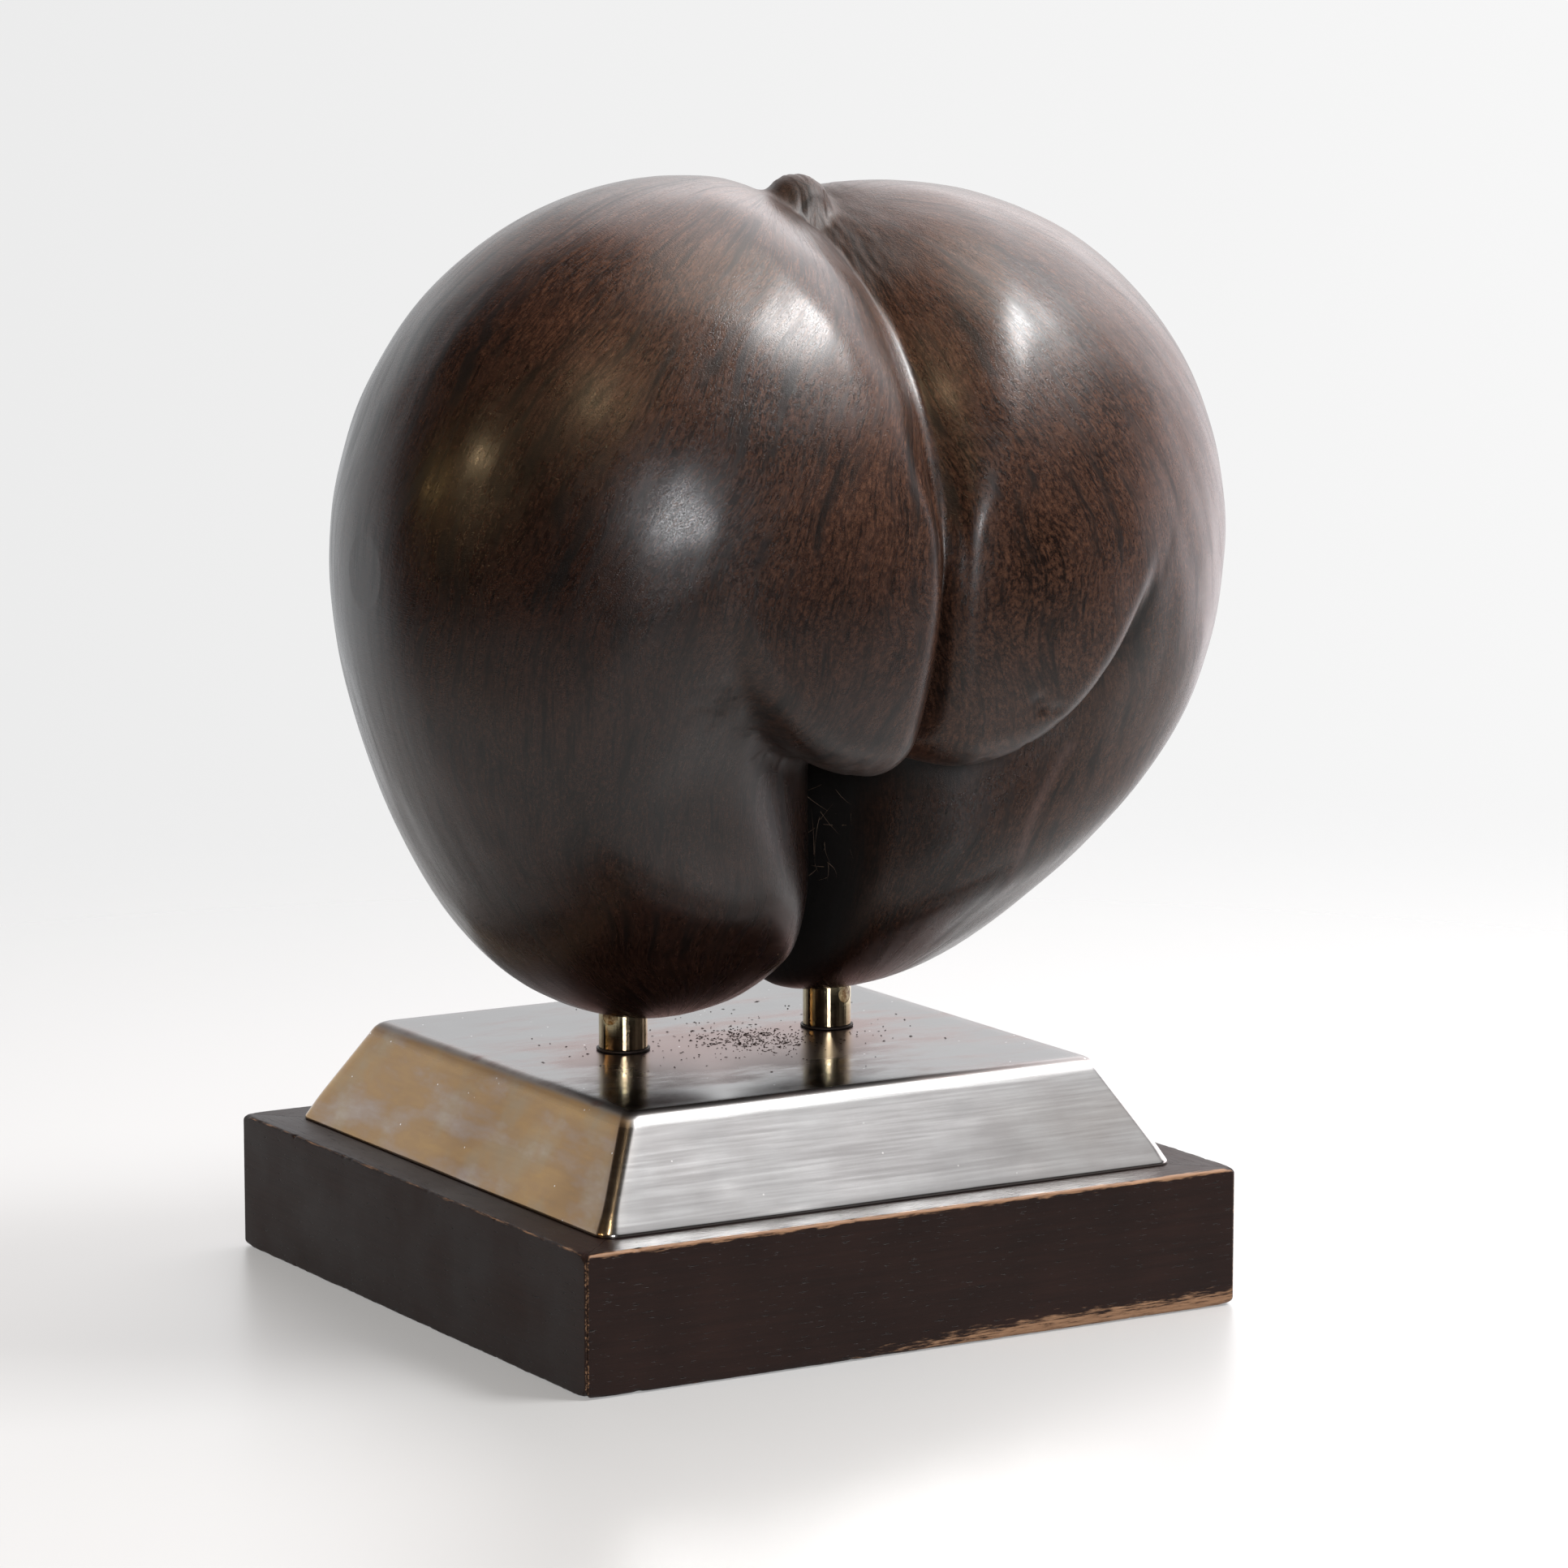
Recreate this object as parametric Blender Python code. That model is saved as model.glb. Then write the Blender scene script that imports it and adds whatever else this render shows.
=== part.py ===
"""Polished coco de mer seed, held on two brass posts over a plated cap and a mitred wood base.

Frame: metres, +Z up. The origin is the centre of the base's underside. +X runs along the front
face of the base, and the belly of the seed looks toward -Y.
"""
import math

import bmesh
import bpy
import numpy as np
from mathutils import Matrix, Vector

MM = 0.001
FIT_GAP = 0.3  # clearance between touching pieces, mm

# Wood base: four mitred rails round a core block, mm
BASE_SIDE = 240.0
BASE_HEIGHT = 45.0
RAIL_WIDTH = 34.0
RAIL_EDGE_ROUND = 1.3
RAIL_EDGE_SEGMENTS = 3

# Plated sheet cap over its own core block, mm
CAP_FOOT_SIDE = 212.0
CAP_TOP_SIDE = 173.0
CAP_HEIGHT = 34.0
CAP_SHEET = 1.5
CAP_CORNER_RADIUS = 4.0
CAP_TOP_EDGE_RADIUS = 3.0
CAP_CORNER_SEGMENTS = 6
CAP_EDGE_SEGMENTS = 5

# Posts, studs and their hardware, mm
POST_X = 38.8
POST_Y = 1.7
POST_DIAMETER = 16.0
POST_TOP_Z = 99.0
CROSS_HOLE_DIAMETER = 6.0
CROSS_HOLE_DEPTH = 3.0
CROSS_HOLE_PLACES = {"left": (207.0, 91.6), "right": (290.0, 91.0)}  # facing in degrees, height
FOOT_WASHER_DIAMETER = 17.6
FOOT_WASHER_THICKNESS = 0.5
STUD_DIAMETER = 6.0
STUD_END_Z = 150.0
STUD_START_Z = 4.0
COUNTERBORE_DIAMETER = 20.0
COUNTERBORE_DEPTH = 14.0
NUT_ACROSS_FLATS = 10.0
NUT_HEIGHT = 5.0
NUT_WASHER_DIAMETER = 18.0
NUT_WASHER_THICKNESS = 1.6
ROUND_SEGMENTS = 48
HOLE_SEGMENTS = 24

# Seed: two mirrored main masses and two mirrored tips, as swollen ellipsoids, mm
MASS_CENTRE = (35.6, -38.9, 243.9)
MASS_RADII = (113.8, 102.5, 119.8)
MASS_POWER = 2.06
MASS_LEAN_DEG = 5.7
MASS_SPLAY_DEG = 6.5
TIP_CENTRE = (31.8, -3.9, 151.8)
TIP_RADII = (53.7, 42.4, 51.4)
TIP_BLEND = 60.0
RIGHT_HALF_SHRINK = 0.018
SHRINK_SPREAD = 40.0
SHRINK_HEIGHT = 230.0

# Front groove: depth position, wall steepness and edge rounding against height, mm
GROOVE_FLOOR = ((150, -84), (184, -106), (223, -123), (250, -126.5), (279, -121),
                (303, -111), (320, -98), (342, -72), (358, -42), (372, -8))
GROOVE_STEEPNESS = ((180, 2.0), (205, 3.0), (223, 3.4), (240, 3.4), (255, 2.8),
                    (268, 2.0), (282, 1.6), (300, 1.5), (330, 1.5), (360, 1.2))
GROOVE_ROUNDING = ((180, 8), (223, 7), (245, 5), (262, 5), (275, 8),
                   (292, 13), (320, 18), (345, 20), (365, 16))
KEEL_HEIGHT = 1.8
KEEL_HALF_WIDTH = 1.5
KEEL_FROM_Z = (232.0, 255.0)
KEEL_TO_Z = (318.0, 332.0)

# Back groove, shallow and open
BACK_FLOOR = ((120, 20), (170, 46), (215, 54), (260, 54), (300, 44), (335, 24), (365, -16))
BACK_STEEPNESS = 1.1
BACK_ROUNDING = 14.0

# Fold where the belly overhangs the two lobes below it
FOLD_HEIGHT = 183.0
FOLD_RISE_LINEAR = 0.06
FOLD_RISE_CUBIC = 1.1e-4
FOLD_UNDERSIDE_TILT = 0.10
FOLD_TILT_Y = -100.0
FOLD_CORNER_ROUNDING = 7.0
LIP_ROUNDING = 13.0
FLANK_ROUNDING = 18.0
LOBE_INNER_Y = -71.0
LOBE_INNER_X = 12.0
LOBE_FULLNESS = 34.0
LOBE_CURVE = 22.0
FLANK_LIFT = 0.72
FLANK_LIFT_FROM_Z = 184.0
FLANK_LIFT_SOFTNESS = 18.0
RIGHT_FOLD_FADE_X = (46.0, 80.0)
LEFT_FOLD_FADE_X = (26.0, 60.0)

# Cleft between the two lobes
CLEFT_HALF_WIDTH = 3.0
CLEFT_ROOF = ((-110, 181), (-68, 177), (0, 172), (50, 190), (90, 216))
CLEFT_ROUNDING = 14.0

# Stalk scar in the top of the groove
SCAR_CENTRE = (0.0, -44.0, 356.0)
SCAR_RADII = (9.5, 12.0, 9.0)
SCAR_BLEND = 4.0

# Rings of the seed's mesh, turned round a line along X
AXIS_Y = -34.0
AXIS_Z = 238.0
RING_COUNT = 60
RING_POINTS = 96
RING_CROWDING = 0.8
RING_CROWDING_SPREAD = 40.0
FOLD_CROWDING = 0.3
FOLD_DIRECTION = math.atan2(-48.0, -61.0)
SEARCH_REACH = 190.0
SEARCH_STEP = 4.0
SEARCH_HALVINGS = 16

CAP_FOOT_Z = BASE_HEIGHT + FIT_GAP
CAP_TOP_Z = CAP_FOOT_Z + CAP_HEIGHT
STUD_HOLE_DIAMETER = STUD_DIAMETER + 2 * FIT_GAP
POST_PLACES = (("left", -1), ("right", 1))


def clear_scene():
    """Remove every object that the file opened with."""
    for item in list(bpy.data.objects):
        bpy.data.objects.remove(item, do_unlink=True)


def material(name, colour, roughness, metallic=0.0):
    """A plain Principled material."""
    made = bpy.data.materials.new(name)
    made.use_nodes = True
    shader = made.node_tree.nodes["Principled BSDF"]
    shader.inputs["Base Color"].default_value = (*colour, 1.0)
    shader.inputs["Roughness"].default_value = roughness
    shader.inputs["Metallic"].default_value = metallic
    return made


def new_object(name, mesh, finish, place=(0.0, 0.0, 0.0)):
    """Link a mesh as a named object with its material, its origin at a place in mm."""
    made = bpy.data.objects.new(name, mesh)
    made.location = Vector(place) * MM
    bpy.context.scene.collection.objects.link(made)
    made.data.materials.append(finish)
    return made


def mesh_from_bmesh(name, shape, sharp_deg=30.0):
    """Turn a bmesh into a mesh, smooth except over sharp edges."""
    bmesh.ops.recalc_face_normals(shape, faces=shape.faces)
    mesh = bpy.data.meshes.new(name)
    shape.to_mesh(mesh)
    shape.free()
    mesh.shade_smooth()
    mesh.set_sharp_from_angle(angle=math.radians(sharp_deg))
    return mesh


def cylinder(diameter, height, segments=ROUND_SEGMENTS):
    """A round bar that stands on the origin as a bmesh, sizes in mm."""
    shape = bmesh.new()
    bmesh.ops.create_cone(
        shape, cap_ends=True, segments=segments, radius1=diameter / 2 * MM,
        radius2=diameter / 2 * MM, depth=height * MM,
        matrix=Matrix.Translation(Vector((0, 0, height / 2)) * MM))
    return shape


def block(side_x, side_y, height):
    """A square-edged block that stands on the origin as a bmesh, sizes in mm."""
    shape = bmesh.new()
    bmesh.ops.create_cube(shape, size=1.0)
    bmesh.ops.scale(shape, vec=Vector((side_x, side_y, height)) * MM, verts=shape.verts)
    bmesh.ops.translate(shape, vec=Vector((0, 0, height / 2)) * MM, verts=shape.verts)
    return shape


def bore(diameter, bottom, top, x=0.0, y=0.0, segments=HOLE_SEGMENTS):
    """An upright cutter between two heights: its shape, its place and its turn."""
    return cylinder(diameter, top - bottom, segments), (x, y, bottom), (0.0, 0.0, 0.0)


def cut(target, cutters):
    """Subtract each cutter from the target with an exact Boolean that is then applied."""
    for shape, place, turn in cutters:
        cutter = bpy.data.objects.new("cutter", mesh_from_bmesh("cutter", shape))
        cutter.location = Vector(place) * MM
        cutter.rotation_euler = turn
        bpy.context.scene.collection.objects.link(cutter)
        step = target.modifiers.new("hole", "BOOLEAN")
        step.operation = "DIFFERENCE"
        step.solver = "EXACT"
        step.object = cutter
        bpy.context.view_layer.update()
        result = target.evaluated_get(bpy.context.evaluated_depsgraph_get())
        mesh = bpy.data.meshes.new_from_object(result)
        target.modifiers.clear()
        target.data = mesh
        bpy.data.objects.remove(cutter, do_unlink=True)


def stud_holes(bottom, top):
    """Two stud clearance holes between two heights."""
    return [bore(STUD_HOLE_DIAMETER, bottom, top, side * POST_X, POST_Y)
            for _, side in POST_PLACES]


def smooth_step(value, low, high):
    """0 below low, 1 above high, and an S curve between them."""
    t = np.clip((value - low) / (high - low), 0.0, 1.0)
    return t * t * (3.0 - 2.0 * t)


def soft_min(a, b, width):
    """The smaller of two fields, with the crease between them rounded over width."""
    near = np.clip(width - np.abs(a - b), 0.0, None) / width
    return np.minimum(a, b) - near * near * width * 0.25


def soft_max(a, b, width):
    """The larger of two fields, with the edge between them rounded over width."""
    return -soft_min(-a, -b, width)


def through(value, points):
    """A smooth curve through a few hand-placed (key, value) points."""
    keys, values = np.array(points, float).T
    slopes = np.gradient(values, keys)
    value = np.clip(value, keys[0], keys[-1])
    i = np.clip(np.searchsorted(keys, value) - 1, 0, len(keys) - 2)
    span = keys[i + 1] - keys[i]
    t = (value - keys[i]) / span
    start = (1 + 2 * t) * (1 - t) ** 2 * values[i] + t * (1 - t) ** 2 * span * slopes[i]
    end = t * t * (3 - 2 * t) * values[i + 1] + t * t * (t - 1) * span * slopes[i + 1]
    return start + end


def swollen_ellipsoid(points, centre, radii, power=2.0, lean_deg=0.0, splay_deg=0.0):
    """Field of an ellipsoid with the given power, leaned about X and splayed about Y."""
    turn = Matrix.Rotation(math.radians(splay_deg), 3, "Y")
    turn = np.array(turn @ Matrix.Rotation(math.radians(lean_deg), 3, "X"))
    local = np.abs((points - np.array(centre)) @ turn)
    size = ((local / np.array(radii)) ** power).sum(-1) ** (1.0 / power)
    return (size - 1.0) * min(radii)


def seed_masses(x, y, z):
    """The two main masses and the two tips, mirrored on the plane x = 0."""
    half = np.stack([np.abs(x), y, z], -1)
    mass = swollen_ellipsoid(half, MASS_CENTRE, MASS_RADII, MASS_POWER,
                             MASS_LEAN_DEG, MASS_SPLAY_DEG)
    tip = swollen_ellipsoid(half, TIP_CENTRE, TIP_RADII)
    return soft_min(mass, tip, TIP_BLEND)


def front_groove(x, y, z):
    """A V running down the belly, with a thin keel along its floor."""
    keel = KEEL_HEIGHT * np.exp(-(x / KEEL_HALF_WIDTH) ** 2)
    keel = keel * smooth_step(z, *KEEL_FROM_Z) * (1 - smooth_step(z, *KEEL_TO_Z))
    steep = through(z, GROOVE_STEEPNESS)
    floor = through(z, GROOVE_FLOOR) - keel
    return (floor - steep * np.sqrt(x * x + 0.8) - y) / np.sqrt(1 + steep * steep)


def back_groove(x, y, z):
    """A wide shallow V up the back."""
    wall = through(z, BACK_FLOOR) + BACK_STEEPNESS * np.sqrt(x * x + 0.8)
    return (y - wall) / math.sqrt(1 + BACK_STEEPNESS ** 2)


def belly_fold(x, y, z):
    """What is cleared below the belly: in front of the lobes and under the fold's line."""
    reach = np.abs(x)
    fade = np.where(x > 0, smooth_step(reach, *RIGHT_FOLD_FADE_X),
                    smooth_step(reach, *LEFT_FOLD_FADE_X))
    above = z - FLANK_LIFT_FROM_Z
    lift = (np.sqrt(above * above + FLANK_LIFT_SOFTNESS ** 2) + above) / 2
    lobe = LOBE_INNER_Y - LOBE_FULLNESS * (1 - np.exp(-(reach - LOBE_INNER_X) / LOBE_CURVE))
    lobe = lobe - FLANK_LIFT * fade * lift
    line = FOLD_HEIGHT + FOLD_RISE_LINEAR * reach + FOLD_RISE_CUBIC * reach ** 3
    line = line + FOLD_UNDERSIDE_TILT * (y - FOLD_TILT_Y)
    return soft_min((lobe - y) * 0.9, line - z, FOLD_CORNER_ROUNDING)


def lobe_cleft(x, y, z):
    """The slot between the two lobes, below its arched roof."""
    return soft_min(CLEFT_HALF_WIDTH - np.abs(x), through(y, CLEFT_ROOF) - z, CLEFT_ROUNDING)


def seed_field(points):
    """Negative inside the seed, positive outside, in mm."""
    x, y, z = points[..., 0], points[..., 1], points[..., 2]
    scale = 1 + RIGHT_HALF_SHRINK * np.tanh(x / SHRINK_SPREAD)
    x = x * scale
    z = (z - SHRINK_HEIGHT) * scale + SHRINK_HEIGHT
    field = seed_masses(x, y, z)
    field = soft_max(field, front_groove(x, y, z), through(z, GROOVE_ROUNDING))
    field = soft_max(field, back_groove(x, y, z), BACK_ROUNDING)
    rounding = LIP_ROUNDING + (FLANK_ROUNDING - LIP_ROUNDING) * smooth_step(np.abs(x), 30, 80)
    field = soft_max(field, belly_fold(x, y, z), rounding)
    field = soft_max(field, lobe_cleft(x, y, z), CLEFT_ROUNDING)
    scar = swollen_ellipsoid(np.stack([x, y, z], -1), SCAR_CENTRE, SCAR_RADII)
    return soft_min(field, scar, SCAR_BLEND)


def pole_reach(side):
    """How far the seed reaches along X from the rings' line, by halving."""
    low, high = 0.0, SEARCH_REACH
    for _ in range(40):
        middle = (low + high) / 2
        value = seed_field(np.array([[side * middle, AXIS_Y, AXIS_Z]]))[0]
        low, high = (middle, high) if value < 0 else (low, middle)
    return low


def seed_rings(ring_count, ring_points):
    """Points on the seed's skin: one ring for each station along X, found along its spokes."""
    across = -np.cos(np.linspace(0.0, np.pi, ring_count + 2))
    station = np.where(across < 0, across * pole_reach(-1), across * pole_reach(1))
    crowd = RING_CROWDING * np.exp(-(station / RING_CROWDING_SPREAD) ** 2)
    station = station * (1 - crowd)
    turn = np.linspace(0.0, 2 * np.pi, ring_points, endpoint=False)
    turn = turn - FOLD_CROWDING * np.sin(turn - FOLD_DIRECTION)
    x, angle = np.meshgrid(station, turn, indexing="ij")
    start = np.stack([x, np.full_like(x, AXIS_Y), np.full_like(x, AXIS_Z)], -1)
    spoke = np.stack([np.zeros_like(x), np.cos(angle), np.sin(angle)], -1)
    inner = np.zeros_like(x)
    for distance in np.arange(0.0, SEARCH_REACH, SEARCH_STEP):
        inside = seed_field(start + distance * spoke) < 0
        inner = np.where(inside, distance, inner)
    outer = inner + SEARCH_STEP
    for _ in range(SEARCH_HALVINGS):
        middle = (inner + outer) / 2
        inside = seed_field(start + middle[..., None] * spoke) < 0
        inner = np.where(inside, middle, inner)
        outer = np.where(inside, outer, middle)
    return start + inner[..., None] * spoke


def seed_mesh():
    """Skin the rings with quads and close each end with a fan, about the rings' line."""
    rings = seed_rings(RING_COUNT, RING_POINTS)
    left_pole, right_pole = rings[0, 0], rings[-1, 0]
    body = rings[1:-1]
    points = np.concatenate([body.reshape(-1, 3), [left_pole, right_pole]])
    points = (points - (0.0, AXIS_Y, AXIS_Z)) * MM
    count = RING_COUNT * RING_POINTS
    index = np.arange(count).reshape(RING_COUNT, RING_POINTS)
    beside = np.roll(index, -1, axis=1)
    quads = np.stack([index[:-1], beside[:-1], beside[1:], index[1:]], -1).reshape(-1, 4)
    left_fan = [(count, beside[0, k], index[0, k]) for k in range(RING_POINTS)]
    right_fan = [(count + 1, index[-1, k], beside[-1, k]) for k in range(RING_POINTS)]
    mesh = bpy.data.meshes.new("seed")
    mesh.from_pydata(points.tolist(), [], quads.tolist() + left_fan + right_fan)
    shape = bmesh.new()
    shape.from_mesh(mesh)
    bmesh.ops.triangulate(shape, faces=shape.faces)
    bpy.data.meshes.remove(mesh)
    return mesh_from_bmesh("seed", shape, 60.0)


def make_seed():
    """The seed, drilled from below for the two posts and their studs."""
    finish = material("polished_shell", (0.06, 0.035, 0.025), 0.32)
    seed = new_object("seed", seed_mesh(), finish, (0.0, AXIS_Y, AXIS_Z))
    seat = POST_TOP_Z + FIT_GAP
    sockets = [bore(POST_DIAMETER + 2 * FIT_GAP, CAP_TOP_Z, seat, side * POST_X, POST_Y, ROUND_SEGMENTS)
               for _, side in POST_PLACES]
    cut(seed, sockets + stud_holes(seat - 2.0, STUD_END_Z + FIT_GAP))
    return seed


def make_rail(name, quarter_turns, finish):
    """One mitred rail of the frame, outer edges eased, made as the front one and then turned."""
    half = BASE_SIDE / 2
    mitre_gap = FIT_GAP / math.sqrt(2)
    outer = half - mitre_gap
    inner = half - RAIL_WIDTH - mitre_gap
    plan = ((-outer, -half), (outer, -half), (inner, -half + RAIL_WIDTH),
            (-inner, -half + RAIL_WIDTH))
    shape = bmesh.new()
    low = [shape.verts.new(Vector((x, y, 0.0)) * MM) for x, y in plan]
    high = [shape.verts.new(Vector((x, y, BASE_HEIGHT)) * MM) for x, y in plan]
    shape.faces.new(low[::-1])
    shape.faces.new(high)
    for k in range(4):
        after = (k + 1) % 4
        shape.faces.new((low[k], low[after], high[after], high[k]))
    front = {low[0], low[1], high[0], high[1]}
    eased = [edge for edge in shape.edges if set(edge.verts) <= front]
    bmesh.ops.bevel(shape, geom=eased, offset=RAIL_EDGE_ROUND * MM, offset_type="OFFSET",
                    segments=RAIL_EDGE_SEGMENTS, profile=0.5, affect="EDGES")
    rail = new_object(name, mesh_from_bmesh(name, shape), finish)
    rail.rotation_euler.z = quarter_turns * math.pi / 2


def make_base():
    """Four rails and the core block that they frame."""
    finish = material("ebonised_wood", (0.028, 0.020, 0.018), 0.45)
    for turns, side in enumerate(("front", "right", "back", "left")):
        make_rail(f"wood_rail_{side}", turns, finish)
    core_side = BASE_SIDE - 2 * RAIL_WIDTH - 2 * FIT_GAP
    shape = block(core_side, core_side, BASE_HEIGHT)
    core = new_object("base_core", mesh_from_bmesh("base_core", shape),
                      material("fibreboard", (0.30, 0.20, 0.12), 0.8))
    pockets = [bore(COUNTERBORE_DIAMETER, -5.0, COUNTERBORE_DEPTH, side * POST_X, POST_Y, ROUND_SEGMENTS)
               for _, side in POST_PLACES]
    cut(core, pockets + stud_holes(COUNTERBORE_DEPTH - 2.0, BASE_HEIGHT + 5.0))


def rounded_square(half, radius):
    """Points round a square with round corners, counter-clockwise."""
    points = []
    for quarter in range(4):
        middle = math.pi / 4 + quarter * math.pi / 2
        centre = (half - radius) * math.sqrt(2)
        for k in range(CAP_CORNER_SEGMENTS + 1):
            angle = middle - math.pi / 4 + k * math.pi / 2 / CAP_CORNER_SEGMENTS
            points.append((centre * math.cos(middle) + radius * math.cos(angle),
                           centre * math.sin(middle) + radius * math.sin(angle)))
    return points


def cap_profile(shrink, rise, edge_radius):
    """Half side and height above the foot, up one slope of the cap and round its top edge."""
    foot = CAP_FOOT_SIDE / 2 - shrink
    top = CAP_TOP_SIDE / 2 - shrink
    slope = math.atan2(CAP_HEIGHT, (CAP_FOOT_SIDE - CAP_TOP_SIDE) / 2)
    setback = edge_radius * math.tan(slope / 2)
    centre = (top - setback, rise - edge_radius)
    start = math.pi / 2 - slope
    profile = [(foot, 0.0)]
    for k in range(CAP_EDGE_SEGMENTS + 1):
        angle = start + (math.pi / 2 - start) * k / CAP_EDGE_SEGMENTS
        profile.append((centre[0] + edge_radius * math.cos(angle),
                        centre[1] + edge_radius * math.sin(angle)))
    return profile


def skin(shape, profile, corner_radius):
    """Rings of a rounded square up a profile, joined by quads, with the top closed."""
    rings = []
    for half, height in profile:
        points = rounded_square(half, corner_radius)
        rings.append([shape.verts.new(Vector((x, y, height)) * MM) for x, y in points])
    count = len(rings[0])
    for below, above in zip(rings, rings[1:]):
        for k in range(count):
            after = (k + 1) % count
            shape.faces.new((below[k], below[after], above[after], above[k]))
    shape.faces.new(rings[-1])
    return rings[0]


def make_cap():
    """The folded sheet cap, open below, and the block that fills it."""
    finish = material("plated_sheet", (0.60, 0.58, 0.55), 0.22, 1.0)
    inner_radius = CAP_TOP_EDGE_RADIUS - CAP_SHEET
    outer = cap_profile(0.0, CAP_HEIGHT, CAP_TOP_EDGE_RADIUS)
    inner = cap_profile(CAP_SHEET, CAP_HEIGHT - CAP_SHEET, inner_radius)
    shape = bmesh.new()
    outer_foot = skin(shape, outer, CAP_CORNER_RADIUS)
    inner_foot = skin(shape, inner, CAP_CORNER_RADIUS - CAP_SHEET)
    for k in range(len(outer_foot)):
        after = (k + 1) % len(outer_foot)
        shape.faces.new((outer_foot[k], inner_foot[k], inner_foot[after], outer_foot[after]))
    place = (0.0, 0.0, CAP_FOOT_Z)
    cap = new_object("metal_cap", mesh_from_bmesh("metal_cap", shape), finish, place)
    cut(cap, stud_holes(CAP_TOP_Z - 5.0, CAP_TOP_Z + 5.0))
    filler = cap_profile(CAP_SHEET + FIT_GAP, CAP_HEIGHT - CAP_SHEET - FIT_GAP, inner_radius)
    shape = bmesh.new()
    shape.faces.new(skin(shape, filler, CAP_CORNER_RADIUS - CAP_SHEET))
    core = new_object("cap_core", mesh_from_bmesh("cap_core", shape),
                      material("cap_core_wood", (0.42, 0.28, 0.16), 0.8), place)
    cut(core, stud_holes(CAP_FOOT_Z - 5.0, CAP_TOP_Z + 5.0))


def cross_hole(side_name, side):
    """A blind hole drilled into a post from the side: its shape, its place and its turn."""
    facing, height = CROSS_HOLE_PLACES[side_name]
    facing = math.radians(facing)
    start = POST_DIAMETER / 2 - CROSS_HOLE_DEPTH
    place = (side * POST_X + start * math.cos(facing), POST_Y + start * math.sin(facing), height)
    return cylinder(CROSS_HOLE_DIAMETER, POST_DIAMETER, HOLE_SEGMENTS), place, (0.0, math.pi / 2, facing)


def make_hardware():
    """Posts, their foot washers, the studs and the nuts that draw the seed down."""
    brass = material("polished_brass", (0.50, 0.40, 0.22), 0.18, 1.0)
    dark = material("dark_fibre", (0.03, 0.025, 0.02), 0.7)
    steel = material("zinc_steel", (0.55, 0.55, 0.55), 0.35, 1.0)
    foot = CAP_TOP_Z + FIT_GAP
    post_foot = foot + FOOT_WASHER_THICKNESS + FIT_GAP
    washer_foot = COUNTERBORE_DEPTH - FIT_GAP - NUT_WASHER_THICKNESS
    nut_foot = washer_foot - FIT_GAP - NUT_HEIGHT
    nut_corners = NUT_ACROSS_FLATS / math.cos(math.pi / 6)
    parts = (  # name, diameter, height, foot, sides, finish
        ("post", POST_DIAMETER, POST_TOP_Z - post_foot, post_foot, ROUND_SEGMENTS, brass),
        ("post_washer", FOOT_WASHER_DIAMETER, FOOT_WASHER_THICKNESS, foot, ROUND_SEGMENTS, dark),
        ("nut_washer", NUT_WASHER_DIAMETER, NUT_WASHER_THICKNESS, washer_foot, ROUND_SEGMENTS, steel),
        ("nut", nut_corners, NUT_HEIGHT, nut_foot, 6, steel),
    )
    for side_name, side in POST_PLACES:
        x = side * POST_X
        for kind, diameter, height, bottom, sides, finish in parts:
            name = f"{kind}_{side_name}"
            mesh = mesh_from_bmesh(name, cylinder(diameter, height, sides))
            piece = new_object(name, mesh, finish, (x, POST_Y, bottom))
            cut(piece, [bore(STUD_HOLE_DIAMETER, 0.0, POST_TOP_Z + 5.0, x, POST_Y)])
            if kind == "post":
                cut(piece, [cross_hole(side_name, side)])
        name = f"stud_{side_name}"
        stud = cylinder(STUD_DIAMETER, STUD_END_Z - STUD_START_Z, HOLE_SEGMENTS)
        new_object(name, mesh_from_bmesh(name, stud), steel, (x, POST_Y, STUD_START_Z))


clear_scene()
make_base()
make_cap()
make_hardware()
make_seed()
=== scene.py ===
import math

import bpy
import numpy as np
from mathutils import Matrix


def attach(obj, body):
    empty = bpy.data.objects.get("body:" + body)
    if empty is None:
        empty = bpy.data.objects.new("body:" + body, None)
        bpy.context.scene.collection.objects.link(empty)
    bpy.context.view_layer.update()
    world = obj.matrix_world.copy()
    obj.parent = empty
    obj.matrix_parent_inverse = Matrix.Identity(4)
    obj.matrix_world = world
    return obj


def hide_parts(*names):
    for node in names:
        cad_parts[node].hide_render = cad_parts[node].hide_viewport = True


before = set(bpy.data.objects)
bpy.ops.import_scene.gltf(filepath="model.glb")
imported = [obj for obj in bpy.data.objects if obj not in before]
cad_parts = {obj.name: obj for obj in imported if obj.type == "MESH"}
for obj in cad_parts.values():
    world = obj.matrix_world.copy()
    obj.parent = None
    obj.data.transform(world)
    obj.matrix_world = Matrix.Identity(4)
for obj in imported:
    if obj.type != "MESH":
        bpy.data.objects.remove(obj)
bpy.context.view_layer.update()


# Wood rails
# Four lengths of close-grained hardwood, mitred and glued round the core block, stained black
# and waxed. Years of handling have knocked the corners back and rubbed the arrises through.
base_side, rail_width, rail_height = 240.0, 34.0, 45.0
mitre_gap = 0.22
arris_radius, corner_radius = 1.0, 1.9
stain_dark, stain_light = "#140b09", "#35201a"
bare_wood, bare_wood_dark = "#a58264", "#553729"
pore_length, pore_width = 5.0, 0.35
grain_length, grain_width = 60.0, 2.2
rub_length, rub_width = 9.0, 0.8


def linear(code):
    """A sRGB hex colour as linear red, green, blue and alpha."""
    parts = [int(code[k:k + 2], 16) / 255 for k in (1, 3, 5)]
    return (*[c / 12.92 if c <= 0.04045 else ((c + 0.055) / 1.055) ** 2.4 for c in parts], 1.0)


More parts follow.
